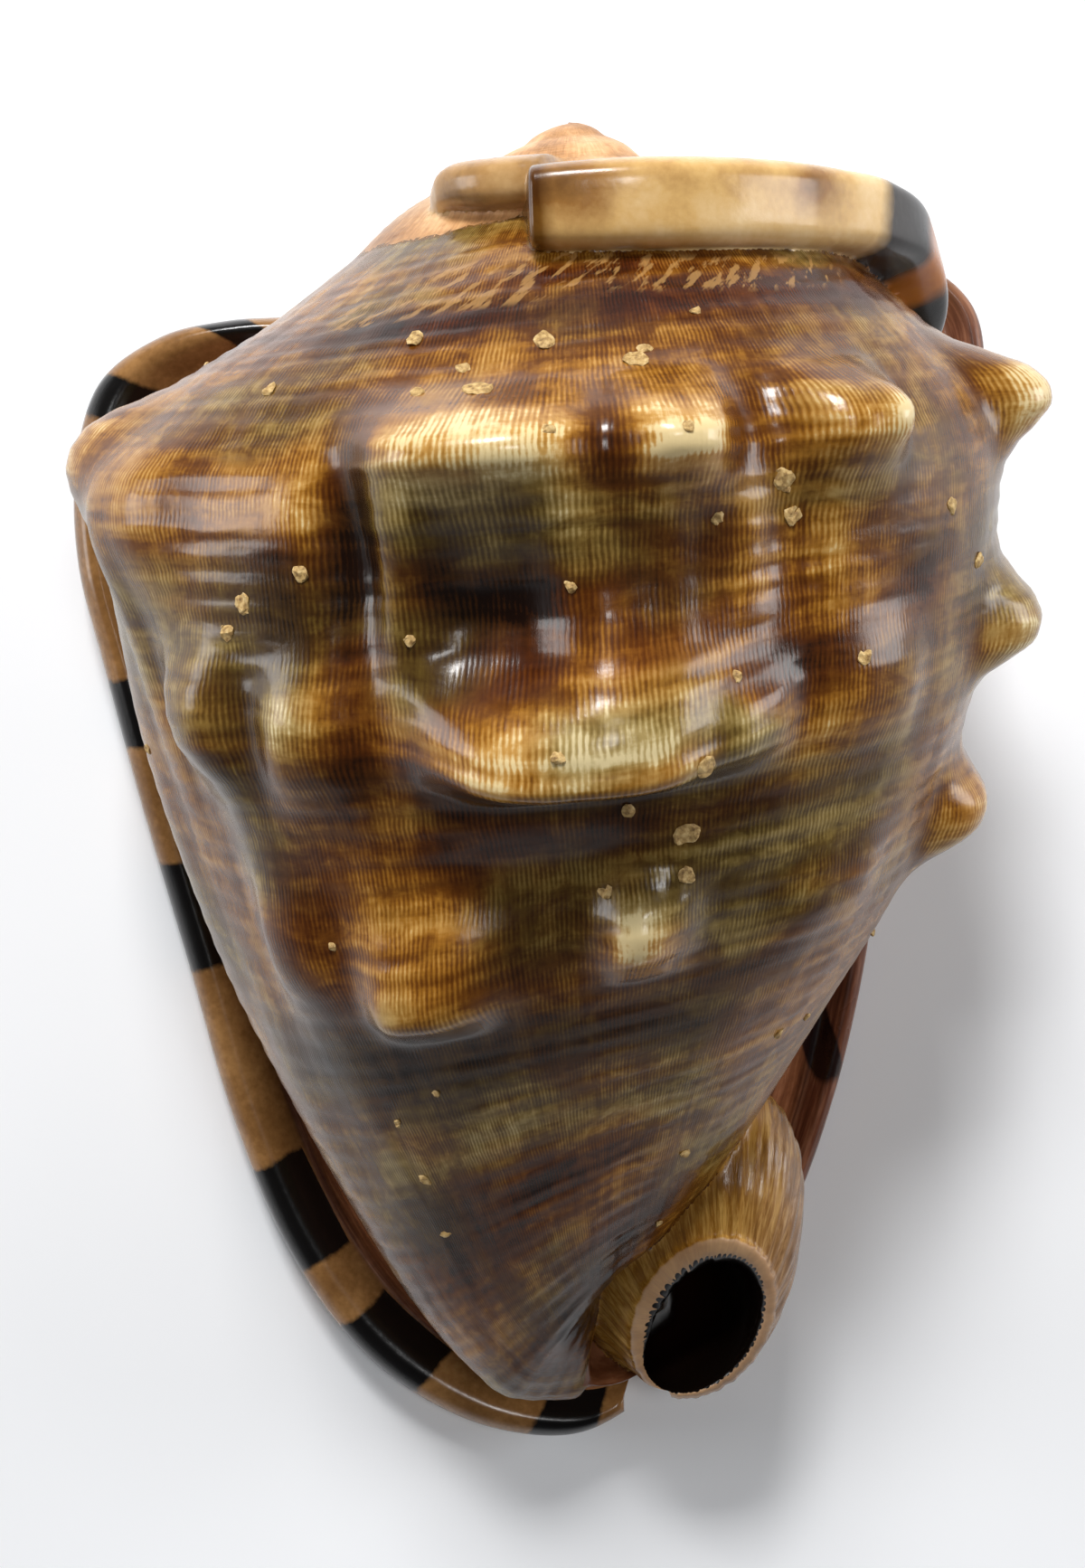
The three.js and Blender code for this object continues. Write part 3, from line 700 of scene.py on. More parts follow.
snout = {
    "long": (0.376, 0.927),
    # middle, half width, half length, slope along its length
    "sections": [(22, -76, 5, 15, 21, 0), (23, -74, 14, 17, 25, 0.1), (23.5, -73, 23, 17.5, 26.5, 0.25),
                 (24, -75.5, 30, 16.5, 24.5, 0.4), (25, -80.5, 34.5, 14, 19.5, 0.48),
                 (25.5, -85.5, 36.5, 10.8, 15.6, 0.5)],
    "rows": 60, "sides": 200, "lipRound": 1.4, "ribHeight": 0.13, "ribs": 41,
}
canal = {
    "path": [(8, -66, 14), (13, -76, 16), (20, -83.5, 22), (24.3, -86.5, 30), (25.7, -87.5, 38),
             (26.2, -88, 60)],
    "halfWide": [5, 6.2, 7, 7.4, 7.6, 8], "halfLong": [7, 9.5, 11.4, 12.6, 12.9, 13.5],
    "count": 60, "sides": 72,
}
notchOutline = [(16.5, -98), (20.5, -99), (22.5, -105), (23, -120), (14.5, -120), (14.4, -106)]


def snoutRings():
    angle = 2 * np.pi * (np.arange(snout["sides"]) + 0.5) / snout["sides"]
    longX, longY = snout["long"]
    rows = curve(snout["sections"], snout["rows"])
    top = rows[-1]
    # the top edge is rolled over
    for t in np.linspace(0, math.pi / 2, 6)[1:]:
        up, narrower = snout["lipRound"] * math.sin(t), -snout["lipRound"] * (1 - math.cos(t))
        rows = np.vstack([rows, top + np.array([0, 0, up, narrower, narrower, 0])])
    rings = []
    ribs = np.sin(angle * snout["ribs"] + 2 * np.sin(angle * 5)) + 0.6 * np.sin(angle * 23 + 1)
    for x, y, z, wide, long, slope in rows:
        wide, long = wide + snout["ribHeight"] * ribs, long + snout["ribHeight"] * ribs
        u, v = np.cos(angle) * wide, np.sin(angle) * long
        rings.append(np.stack([x + longY * u + longX * v, y - longX * u + longY * v, z + slope * v],
                              axis=1) + shift)
    return rings


rimPoints, rimSections = rimRings()
outerEdge = curve(mouth, rim["stations"], True)[:, :2]
rimAlong = np.concatenate([[0], np.cumsum(np.hypot(*np.diff(outerEdge, axis=0).T))])
oldLipPoints, oldLipTips = roundEnds(lipRings(oldLip), 1.6)
olderLipPoints, olderLipTips = roundEnds(lipRings(olderLip), 1.4)
square = [(-300, -300), (300, -300), (300, 300), (-300, 300)]

# the number after the rings is the zone that the piece's points carry
pieces = {
    "rim": loft("rim", rimPoints, 2, closed=True, along=rimAlong, section=rimSections),
    "oldLip": loft("oldLip", oldLipPoints, 3, tips=oldLipTips),
    "olderLip": loft("olderLip", olderLipPoints, 4, tips=olderLipTips),
    "snout": loft("snout", snoutRings(), 5),
    "canal": loft("canal", tube(np.array(canal["path"]) + shift, canal["halfWide"], canal["halfLong"],
                                canal["count"], canal["sides"], lambda t: (*snout["long"], 0)), 6),
    "notch": loft("notch", [[(x, y, z) + shift for x, y in notchOutline] for z in (-2, 60)], 2),
    "hollow": loft("hollow", hollowRings(), 6),
    "slit": loft("slit", slitCutterRings(-2, 21.7), 6),
    "under": loft("under", [[(x, y, z) for x, y in square] for z in (-90, 6)], 1),
    "ground": loft("ground", [[(x, y, z) for x, y in square] for z in (-90, 0)], 2),
}


def join(base, other, operation):
    modifier = base.modifiers.new(operation, "BOOLEAN")
    modifier.operation, modifier.solver, modifier.object = operation, "MANIFOLD", other
    mesh = bpy.data.meshes.new_from_object(base.evaluated_get(bpy.context.evaluated_depsgraph_get()))
    base.modifiers.remove(modifier)
    old = base.data
    base.data = mesh
    bpy.data.meshes.remove(old)


shell = turns["last"]
shell.name = "helmetShell"
for name in ("second", "third", "fourth"):
    join(shell, turns[name], "UNION")
join(shell, pieces["under"], "DIFFERENCE")
for name in ("snout", "rim", "oldLip", "olderLip"):
    join(shell, pieces[name], "UNION")
for name in ("canal", "notch", "hollow", "slit"):
    join(shell, pieces[name], "DIFFERENCE")
for name in ("second", "third", "fourth"):
    bpy.data.objects.remove(turns[name])
print("joined", len(shell.data.polygons))

# teeth of the lip and folds of the shield, set along the edge of the slit
teeth = {
    "edgeSteps": 300, "sink": 0.5, "setBack": 0.78, "uneven": 0.12, "pastBevel": 3.0,
    # first step of the edge, steps from one to the next, how many, size
    "lip": (47, 7.0, 12, (8.0, 3.0, 2.4)), "folds": (178, 4.2, 17, (8.5, 1.9, 1.6)),
}


def teethTable():
    edge = curve(mouth, teeth["edgeSteps"], True)
    places, rows = [], []
    for start, pitch, count, (long, wide, high) in (teeth["lip"], teeth["folds"]):
        for i in range(count):
            outX, outY, slitX, slitY = edge[int(round(start + i * pitch))][:4]
            reach = math.hypot(outX - slitX, outY - slitY)
            dx, dy = (outX - slitX) / reach, (outY - slitY) / reach
            at = long * teeth["setBack"]
            grow = 1 + teeth["uneven"] * random.standard_normal()
            rise = teeth["pastBevel"]
            if at < 0.2 * reach:
                rise = rim["slitBevel"] * (1 - 0.58 * at / (0.2 * reach) * 0.9) - teeth["sink"]
            places.append(((slitX + dx * at + shift[0]) * mm, (slitY + dy * at + shift[1]) * mm, rise * mm))
            rows.append((math.atan2(dy, dx), long * grow * mm, wide * mm, high * (0.9 + 0.1 * grow) * mm))
    return tableMesh("teethTable", ("heading", "long", "wide", "high"), rows, places)


def teethTree():
    tree, given, give = openTree(
        "slitTeeth", "GeometryNodeTree",
        [("Table", "NodeSocketObject"), ("Rings", "NodeSocketInt", 12), ("Segments", "NodeSocketInt", 18),
         ("Tilt", "NodeSocketFloat", 0.3), ("Material", "NodeSocketMaterial")],
        [("Geometry", "NodeSocketGeometry")])
    table = out(tree, node(tree, "GeometryNodeObjectInfo", {"Object": given("Table")}), "Geometry")
    bead = node(tree, "GeometryNodeMeshUVSphere", {"Segments": given("Segments"), "Rings": given("Rings"),
                                                   "Radius": 1.0})
    size = combined(tree, *(readAttribute(tree, label) for label in ("long", "wide", "high")))
    turned = combined(tree, 0.0, given("Tilt"), readAttribute(tree, "heading"))
    spread = node(tree, "GeometryNodeInstanceOnPoints", {"Points": table, "Instance": out(tree, bead, "Mesh"),
                                                         "Scale": size, "Rotation": turned})
    zoned = storeAttribute(tree, out(tree, spread), "zone", 7.0, "INSTANCE")
    whole = node(tree, "GeometryNodeRealizeInstances", {"Geometry": zoned})
    finish = node(tree, "GeometryNodeSetMaterial", {"Geometry": out(tree, whole),
                                                    "Material": given("Material")})
    give("Geometry", out(tree, finish))
    return tree


teethHolder = teethTable()
slitTeeth = faceOut(runTree("slitTeeth", teethTree(), {"Table": teethHolder, "Material": shellFinish}))
join(shell, slitTeeth, "UNION")
join(shell, pieces["ground"], "DIFFERENCE")
for piece in (teethHolder, slitTeeth, *pieces.values()):
    bpy.data.objects.remove(piece)
print("teeth added", len(shell.data.polygons))


def readValues(mesh, name):
    values = np.zeros(len(mesh.vertices), np.float32)
    if name in mesh.attributes:
        mesh.attributes[name].data.foreach_get("value", values)
    return values.astype(float)


def writeValues(mesh, name, values, domain="POINT"):
    if name in mesh.attributes:
        mesh.attributes.remove(mesh.attributes[name])
    mesh.attributes.new(name, "FLOAT", domain).data.foreach_set("value", np.asarray(values, np.float32))


def edgesOf(mesh):
    edges = np.empty(len(mesh.edges) * 2, np.int64)
    mesh.edges.foreach_get("vertices", edges)
    return edges.reshape(-1, 2)


def around(values, edges, count):
    total = np.zeros((count,) + values.shape[1:])
    for a, b in ((0, 1), (1, 0)):
        np.add.at(total, edges[:, a], values[edges[:, b]])
    return total


# points on the seams between parts have no values yet, so they take their neighbours'
def fillSeams(mesh, names):
    edges, count = edgesOf(mesh), len(mesh.vertices)
    zone = readValues(mesh, "zone")
    values = {name: readValues(mesh, name) for name in names}
    seam = zone == 0
    for _ in range(40):
        empty = zone == 0
        if not empty.any():
            break
        known = (~empty).astype(float)
        beside = around(known, edges, count)
        top = np.zeros(count)
        for a, b in ((0, 1), (1, 0)):
            np.maximum.at(top, edges[:, a], zone[edges[:, b]])
        take = empty & (beside > 0)
        for name in names:
            sums, weights = np.zeros(count), np.zeros(count)
            for a, b in ((0, 1), (1, 0)):
                farZone = zone[edges[:, b]]
                match = (farZone > 0) & (farZone == top[edges[:, a]])
                np.add.at(sums, edges[match, a], values[name][edges[match, b]])
                np.add.at(weights, edges[match, a], 1)
            values[name][take] = sums[take] / np.maximum(weights[take], 1)
        zone[take] = top[take]
    for name in names:
        writeValues(mesh, name, values[name])
    writeValues(mesh, "zone", zone)
    return seam


# evens out the creases where the parts meet
def softenSeams(mesh, seam, rings, passes, strength):
    edges, count = edgesOf(mesh), len(mesh.vertices)
    weight = seam.astype(float)
    for _ in range(rings):
        spread = np.zeros(count)
        for a, b in ((0, 1), (1, 0)):
            np.maximum.at(spread, edges[:, a], weight[edges[:, b]])
        weight = np.maximum(weight, spread * 0.75)
    points = positions(mesh)
    degree = around(np.ones(count), edges, count)[:, None]
    for _ in range(passes):
        middle = around(points, edges, count) / degree
        points += (middle - points) * (weight * strength)[:, None]
    mesh.vertices.foreach_set("co", points.ravel())
    mesh.update()


softening = {"rings": 6, "passes": 9, "strength": 0.5}
seam = fillSeams(shell.data, ["turn", "run", "lift", "reach"])
floorLevel = positions(shell.data)[:, 2] < 0.3 * mm
softenSeams(shell.data, seam & ~floorLevel, **softening)
print("seams evened", int(seam.sum()))

# soft patches of the last turn, its own blotches and painted shade in hollows such as the valley towards the
# snout: angle, run, half width round the turn, half width down it, how much darker
blotchesAndHollowShade = [
    (62, 51, 13, 3, 0.35), (90, 44, 11, 2, 0.35), (106, 50, 13, 3, 0.2), (134, 48, 7, 2, 0.25),
    (118, 60, 11, 2, 0.15), (53, 60, 7, 4, 0.1), (66, 78, 3, 8, 0.45), (52, 88, 7, 4, 0.55),
    (71, 87, 5, 6, 0.35), (80, 94, 9, 4, 0.55), (97, 92, 5, 7, 0.35), (104, 73, 3, 3, 0.25),
    (116, 105, 8, 4, 0.6), (133, 97, 6, 10, 0.45), (142, 79, 4, 6, 0.3), (87, 125, 13, 4, 0.5),
    (70, 123, 6, 5, 0.4), (56, 96, 6, 6, 0.45), (44, 114, 6, 9, 0.35), (58, 120, 4, 7, 0.4),
    (69, 96, 5, 6, 0.3), (109, 125, 7, 3, 0.3), (78, 137, 4, 5, 0.35), (49, 132, 5, 8, 0.3),
    (70, 154, 28, 6, 0.4), (48, 158, 13, 8, 0.35), (87, 158, 10, 3, 0.2), (67, 183, 12, 7, 0.35),
    (42, 189, 11, 8, 0.45), (104, 161, 10, 3, 0.35), (86, 183, 9, 3, 0.4), (124, 136, 8, 2, 0.3),
    (116, 151, 8, 2, 0.3), (65, 215, 9, 6, 0.4), (45, 144, 6, 8, 0.25), (121, 144, 6, 2, 0.3),
    (84, 114, 21, 1.5, 0.35), (104, 200, 5, 5, 0.45), (90, 205, 6, 6, 0.45), (80, 218, 6, 9, 0.45),
    (62, 84, 3, 12, 0.3), (90, 78, 2, 7, 0.25), (80, 92, 8, 3.5, 0.35), (88, 118, 18, 2, 0.3),
    (62, 110, 3, 10, 0.25), (72, 172, 8, 4, -0.15), (100, 186, 8, 3, -0.15), (60, 172, 6, 3, -0.12),
    (110, 168, 10, 2.5, -0.15), (40, 150, 6, 4, -0.1), (78, 70, 12, 2, -0.3), (99, 73, 3, 3, -0.45),
    (126, 71, 3, 2, -0.4), (160, 75, 4, 5, -0.3), (156, 108, 4, 4, -0.3), (149, 140, 5, 3, -0.25),
    (92, 109, 13, 2, -0.2), (94, 139, 3, 5, -0.4), (58, 139, 3, 3, -0.2), (12, 71, 5, 4, -0.25),
    (84, 61, 18, 2, -0.1), (55, 107, 3, 6, -0.25), (66, 120, 3, 4, -0.2), (57, 78, 4, 6, -0.25),
    (115, 90, 7, 7, -0.15), (65, 132, 7, 5, -0.15), (89, 80, 3, 9, -0.15), (77, 79, 7, 4, -0.2),
    (95, 175, 8, 3, -0.2), (72, 168, 4, 3, -0.15), (114, 116, 6, 3, -0.2),
]
# the same for how golden (above zero) or olive (below zero) the turn looks
goldenPatches = [
    (40, 80, 15, 6, 0.6), (57, 78, 6, 6, 0.4), (79, 107, 6, 4, 0.9), (108, 105, 3, 4, 0.6),
    (89, 97, 7, 5, 0.4), (94, 144, 6, 4, 0.5), (53, 142, 5, 5, 0.6), (129, 159, 10, 8, 0.3),
    (65, 186, 16, 8, 0.3), (83, 127, 14, 5, 0.3), (71, 101, 6, 6, -0.7), (106, 113, 5, 5, -0.7),
    (52, 104, 6, 7, -0.5), (40, 121, 8, 11, -0.5), (74, 81, 9, 6, -0.5), (93, 107, 14, 3, -0.4),
    (78, 137, 7, 6, -0.3), (112, 132, 10, 4, -0.5), (58, 157, 19, 8, -0.5),
]
purplePatches = [
    (62, 51, 16, 3, 0.8), (90, 44, 14, 2, 0.8), (112, 51, 19, 4, 0.7), (138, 51, 8, 5, 0.6),
    (143, 78, 5, 7, 0.4), (81, 100, 8, 3, 0.6), (97, 99, 7, 3, 0.7), (101, 81, 6, 7, 0.3),
    (81, 157, 25, 6, 0.2), (94, 158, 15, 5, 0.2),
]
# spots on the old lip: share of the way along it, width, how much darker
lipSpots = [(0.12, 9, 0.35), (0.36, 7, 0.12), (0.42, 8, 0.14), (0.56, 8, 0.6), (0.05, 20, 0.25),
            (0.25, 12, 0.1)]
# where short slanting pale dashes cross the turn
dashedPatches = [
    (54, 46, 7, 3, 1), (66, 42, 5, 3, 1), (80, 42, 7, 3.5, 1), (92, 44, 6, 3, 1),
    (103, 46, 5, 3, 0.8), (118, 47, 9, 3, 1), (134, 47, 6, 3, 0.7), (75, 47, 8, 2, 0.7),
]
# painted shade of the hollow between the shield's flange and the body, near the canal
shieldPitShade = {"place": (49.5, -34.5), "heading": -73, "halfLong": 11, "halfWide": 3.2}
# black bars of the lip: middle seen from above, length along the lip
lipBars = [
    (-56.4, 76.6, 9), (-74.2, 66, 8), (-70.8, 12.4, 12.4), (-60, -22.9, 19.5), (-43.3, -75.1, 19.5),
    (-26.7, -97.3, 17.5), (2.5, -109, 12.4),
]


def sumPatches(table, turn, run, reach):
    total = np.zeros(len(turn))
    for angle, ownRun, halfRound, halfDown, amount in table:
        x = np.radians(turn - angle) * reach / halfRound
        y = (run - ownRun) / halfDown
        total += amount * np.exp(-(np.abs(x) ** 2.4 + np.abs(y) ** 2.4) * 0.8)
    return total


def paintShell(mesh):
    turn, run, zone, lift, reach = (readValues(mesh, name) for name in ("turn", "run", "zone", "lift", "reach"))
    points = positions(mesh) / mm
    onBody, onRim = zone == 1, zone == 2
    reach = np.maximum(reach, 8)
    tone, golden, purple, dashed = (np.where(onBody, sumPatches(table, turn, run, reach), 0)
                                    for table in (blotchesAndHollowShade, goldenPatches, purplePatches, dashedPatches))
    # knob tops are paler and the lower part a little darker, with a dark band below the ramp
    tone -= np.where(onBody, 0.2 * smoothStep(4.5, 9, lift) - 0.03 * smoothStep(140, 160, run), 0)
    tone += np.where(onBody, 0.22 * smoothStep(44, 49, run) * (1 - smoothStep(54, 58, run)) * (turn < 300), 0)
    # bars on the lip
    bar = np.full(len(turn), -9.0)
    for x, y, length in lipBars:
        middle = rimAlong[np.argmin(np.hypot(outerEdge[:, 0] - x, outerEdge[:, 1] - y))]
        bar = np.maximum(bar, length / 2 - np.abs(turn - middle))
    bar = np.where(onRim & (run > 2.6) & (run < 6.3), bar, -9)
    # how deep in a crease or how far out on a ridge each point lies, for painted shade in the creases and paler
    # ridges
    edges, count = edgesOf(mesh), len(mesh.vertices)
    degree = around(np.ones(count), edges, count)[:, None]
    smooth = points.copy()
    for _ in range(8):
        smooth = 0.5 * smooth + 0.5 * around(smooth, edges, count) / degree
    normals = np.empty(count * 3)
    mesh.vertices.foreach_get("normal", normals)
    ridge = np.einsum("ij,ij->i", points - smooth, normals.reshape(-1, 3))
    spots = np.zeros(len(turn))
    for share, size, amount in lipSpots:
        middle = oldLipPoints[int(share * (len(oldLipPoints) - 1))].mean(0)
        spots += amount * np.exp(-np.sum((points[:, :2] - middle[:2]) ** 2, axis=1) / (size * 0.5) ** 2)
    # painted shade of the shield's hollow, in its own length and width
    away = points[:, :2] - np.array(shieldPitShade["place"])
    heading = math.radians(shieldPitShade["heading"])
    lengthwise = away @ np.array([math.cos(heading), math.sin(heading)])
    crosswise = away @ np.array([-math.sin(heading), math.cos(heading)])
    pit = np.exp(-(lengthwise / shieldPitShade["halfLong"]) ** 4 - (crosswise / shieldPitShade["halfWide"]) ** 4)
    shieldStart, shieldFull, shieldFade, shieldEnd = (rimAlong[station] for station in (214, 232, 340, 372))
    shieldSide = smoothStep(shieldStart, shieldFull, turn) * (1 - smoothStep(shieldFade, shieldEnd, turn))
    for label, values in (("tone", tone), ("golden", golden), ("purple", purple), ("dashed", dashed),
                          ("bar", bar), ("ridge", ridge), ("lipSpots", np.where(zone == 3, spots, 0)),
                          ("pit", np.where(onRim & (points[:, 2] > 4), pit, 0)),
                          ("shieldSide", np.where(onRim, shieldSide, 0))):
        writeValues(mesh, label, values)


# each face keeps the part it belongs to, and its corners the two ways over that part
def storeCoilMap(mesh):
    turn, run, zone = (readValues(mesh, name) for name in ("turn", "run", "zone"))
    loops = np.empty(len(mesh.loops), np.int64)
    mesh.loops.foreach_get("vertex_index", loops)
    starts, sizes = np.empty(len(mesh.polygons), np.int64), np.empty(len(mesh.polygons), np.int64)
    mesh.polygons.foreach_get("loop_start", starts)
    mesh.polygons.foreach_get("loop_total", sizes)
    faceOfLoop = np.repeat(np.arange(len(starts)), sizes)
    votes = np.zeros((len(starts), 9))
    np.add.at(votes, (faceOfLoop, zone[loops].astype(int)), np.where(seam[loops], 0.3, 1.0))
    part = votes.argmax(1)
    own = zone[loops] == part[faceOfLoop]
    values = []
    for source in (turn, run):
        sums, weights = np.zeros(len(starts)), np.zeros(len(starts))
        np.add.at(sums, faceOfLoop, np.where(own, source[loops], 0))
        np.add.at(weights, faceOfLoop, own)
        mean = sums / np.maximum(weights, 1)
        values.append(np.where(own, source[loops], mean[faceOfLoop]))
    coilMap = mesh.attributes.new("coilMap", "FLOAT_VECTOR", "CORNER")
    flat = np.stack([values[0], values[1], np.zeros(len(loops))], axis=1)
    coilMap.data.foreach_set("vector", flat.astype(np.float32).ravel())
    writeValues(mesh, "part", part, "FACE")


paintShell(shell.data)
storeCoilMap(shell.data)
shell.data.shade_smooth()
shell.data.set_sharp_from_angle(angle=math.radians(48))
print("painted")


# thin flakes of crust that cling to the shell: where, as angle and run, and how wide
crust = {
    "places": [(84, 57, 1.4), (74, 61, 1.1), (96, 62, 1.7), (78, 65, 2.2), (97, 60, 1.2),
               (66, 54, 1.2), (45, 62, 1.2), (112, 81, 1.7), (101, 127, 2.0), (101, 133, 1.4),
               (91, 134, 1.0), (150, 97, 1.3), (122, 106, 1.2), (113, 86, 1.3), (86, 71, 1.0),
               (101, 113, 1.6), (48, 93, 1.4), (45, 96, 1.2), (88, 92, 0.9), (140, 88, 1.1),
               (70, 65, 1.0), (104, 85, 1.0)],
    "scattered": 26, "thick": 0.35, "ragged": 1.6, "seed": 5,
}


def crustTable(mesh):
    turn, run, zone = (readValues(mesh, name) for name in ("turn", "run", "zone"))
    points = positions(mesh)
    normals = np.empty(len(mesh.vertices) * 3)
    mesh.vertices.foreach_get("normal", normals)
    normals = normals.reshape(-1, 3)
    body = np.flatnonzero((zone == 1) & (turn < 300))
    chosen = [(body[np.argmin(np.hypot(turn[body] - angle, run[body] - ownRun))], wide)
              for angle, ownRun, wide in crust["places"]]
    for _ in range(crust["scattered"]):
        chosen.append((body[int(random.random() * len(body))], 0.5 + 0.6 * random.random()))
    rows = [(*normals[i], wide * mm, (0.7 + 0.5 * random.random()) * wide * mm, 2 * math.pi * random.random())
            for i, wide in chosen]
    return tableMesh("crustTable", ("normalX", "normalY", "normalZ", "wide", "deep", "spin"), rows,
                     [points[i] for i, _ in chosen])


def crustTree():
    tree, given, give = openTree(
        "crustFlakes", "GeometryNodeTree",
        [("Table", "NodeSocketObject"), ("Thickness", "NodeSocketFloat", 0.00035),
         ("Raggedness", "NodeSocketFloat", 0.0016), ("Seed", "NodeSocketInt", 5),
         ("Material", "NodeSocketMaterial")],
        [("Geometry", "NodeSocketGeometry")])
    table = out(tree, node(tree, "GeometryNodeObjectInfo", {"Object": given("Table")}), "Geometry")
    chip = node(tree, "GeometryNodeMeshIcoSphere", {"Radius": 1.0, "Subdivisions": 2})
    facing = combined(tree, *(readAttribute(tree, n) for n in ("normalX", "normalY", "normalZ")))
    turned = node(tree, "FunctionNodeAlignEulerToVector", {"Vector": facing}, axis="Z")
    size = combined(tree, readAttribute(tree, "wide"), readAttribute(tree, "deep"), given("Thickness"))
    spread = node(tree, "GeometryNodeInstanceOnPoints", {"Points": table, "Instance": out(tree, chip, "Mesh"),
                                                         "Scale": size, "Rotation": out(tree, turned)})
    spin = combined(tree, 0.0, 0.0, readAttribute(tree, "spin"))
    spun = node(tree, "GeometryNodeRotateInstances", {"Instances": out(tree, spread), "Rotation": spin})
    whole = node(tree, "GeometryNodeRealizeInstances", {"Geometry": out(tree, spun)})
    flakePlace = tree.nodes.new("GeometryNodeInputPosition")
    ragged = node(tree, "ShaderNodeTexNoise", {"Scale": 900.0, "Detail": 3.0}, noise_dimensions="4D")
    feed(tree, ragged.inputs["Vector"], out(tree, flakePlace))
    feed(tree, ragged.inputs["W"], given("Seed"))
    push = vectorCalc(tree, "SUBTRACT", Wire(tree, ragged.outputs["Color"]), (0.5, 0.5, 0.5))
    rough = node(tree, "GeometryNodeSetPosition", {"Geometry": out(tree, whole),
                                                   "Offset": scaled(tree, push, given("Raggedness"))})
    finish = node(tree, "GeometryNodeSetMaterial", {"Geometry": out(tree, rough),
                                                    "Material": given("Material")})
    give("Geometry", out(tree, finish))
    return tree


# screen colour values from 0 to 255 as the shader's linear colour
def linear(r, g, b):
    return tuple(((v / 255 + 0.055) / 1.055) ** 2.4 if v > 10 else v / 255 / 12.92 for v in (r, g, b)) + (1.0,)


def colourRamp(tree, value, stops):
    made = tree.nodes.new("ShaderNodeValToRGB")
    elements = made.color_ramp.elements
    while len(elements) < len(stops):
        elements.new(0.5)
    for element, (share, colour) in zip(elements, stops):
        element.position, element.color = share, linear(*colour)
    feed(tree, made.inputs["Fac"], value)
    return Wire(tree, made.outputs["Color"])


def blend(tree, amount, first, second, kind="MIX"):
    made = tree.nodes.new("ShaderNodeMix")
    made.data_type, made.blend_type = "RGBA", kind
    feed(tree, made.inputs[0], amount)
    feed(tree, made.inputs[6], first)
    feed(tree, made.inputs[7], second)
    return Wire(tree, made.outputs[2])


def noise(tree, vector, scale=1.0, detail=2.0, rough=0.5, distortion=0.0):
    made = node(tree, "ShaderNodeTexNoise", {"Scale": scale, "Detail": detail, "Roughness": rough,
                                             "Distortion": distortion})
    feed(tree, made.inputs["Vector"], vector)
    return Wire(tree, made.outputs[0])


def attributeValue(tree, name, output="Fac"):
    made = tree.nodes.new("ShaderNodeAttribute")
    made.attribute_name = name
    return Wire(tree, made.outputs[output])


# patterns that follow the coil: blocky patches, long streaks, fine threads across, cords along
def coilPatternGroup():
    tree, given, give = openTree(
        "coilPatterns", "ShaderNodeTree",
        [("Turn", "NodeSocketFloat"), ("Run", "NodeSocketFloat"), ("Thread Spacing", "NodeSocketFloat", 0.62),
         ("Cord Spacing", "NodeSocketFloat", 2.6)],
        [("Patches", "NodeSocketFloat"), ("Streaks", "NodeSocketFloat"), ("Threads", "NodeSocketFloat"),
         ("Cords", "NodeSocketFloat"), ("Axial", "NodeSocketFloat"), ("Broad", "NodeSocketFloat")])
    turn, run = given("Turn"), given("Run")
    give("Patches", noise(tree, combined(tree, turn / 9.0, run / 7.0, 3.1), 1.0, 4.0, 0.6, 0.5))
    give("Streaks", noise(tree, combined(tree, turn / 17.0, run / 1.8, 1.7), 1.0, 3.0, 0.6, 0.3))
    give("Broad", noise(tree, combined(tree, turn / 40.0, run / 22.0, 9.4), 1.0, 2.0, 0.5))
    give("Axial", noise(tree, combined(tree, turn / 1.3, run / 14.0, 5.5), 1.0, 4.0, 0.7))
    drift = noise(tree, combined(tree, turn / 9.0, run / 6.0, 0.3), 1.0, 3.0, 0.6)
    threads = calc(tree, "SINE", turn / given("Thread Spacing") * (2 * math.pi) + 9.0 * drift)
    threadPower = noise(tree, combined(tree, turn / 5.0, run / 3.0, 2.2), 1.0, 2.0)
    give("Threads", threads * step(tree, 0.3, 0.6, threadPower))
    cords = calc(tree, "SINE", run / given("Cord Spacing") * (2 * math.pi) + 5.0 * drift)
    cordPower = noise(tree, combined(tree, turn / 15.0, run / 12.0, 7.2), 1.0, 2.0)
    give("Cords", cords * step(tree, 0.42, 0.6, cordPower))
    return tree


# specks of wear and dirt in object space
def speckleGroup():
    tree, given, give = openTree(
        "speckles", "ShaderNodeTree", [("Position", "NodeSocketVector"), ("Size", "NodeSocketFloat", 1.0)],
        [("Fine", "NodeSocketFloat"), ("Coarse", "NodeSocketFloat")])
    give("Fine", noise(tree, scaled(tree, given("Position"), 1.0 / given("Size") * 900.0), 1.0, 4.0, 0.6))
    give("Coarse", noise(tree, scaled(tree, given("Position"), 1.0 / given("Size") * 110.0), 1.0, 3.0, 0.55))
    return tree


patternTree, speckleTree = coilPatternGroup(), speckleGroup()

gloss = {"roughness": 0.235, "bump": 0.55, "coat": 0.14, "coatRoughness": 0.12, "specular": 0.3, "ior": 1.5}
# the last turn's colours from pale to dark
goldenRamp = [(0.0, (222, 198, 146)), (0.14, (186, 140, 72)), (0.32, (148, 98, 30)), (0.5, (104, 60, 14)),
              (0.7, (74, 36, 6)), (1.0, (26, 9, 2))]
oliveRamp = [(0.0, (208, 190, 144)), (0.14, (160, 138, 86)), (0.32, (122, 100, 50)), (0.5, (86, 66, 26)),
             (0.7, (62, 42, 15)), (1.0, (24, 13, 5))]


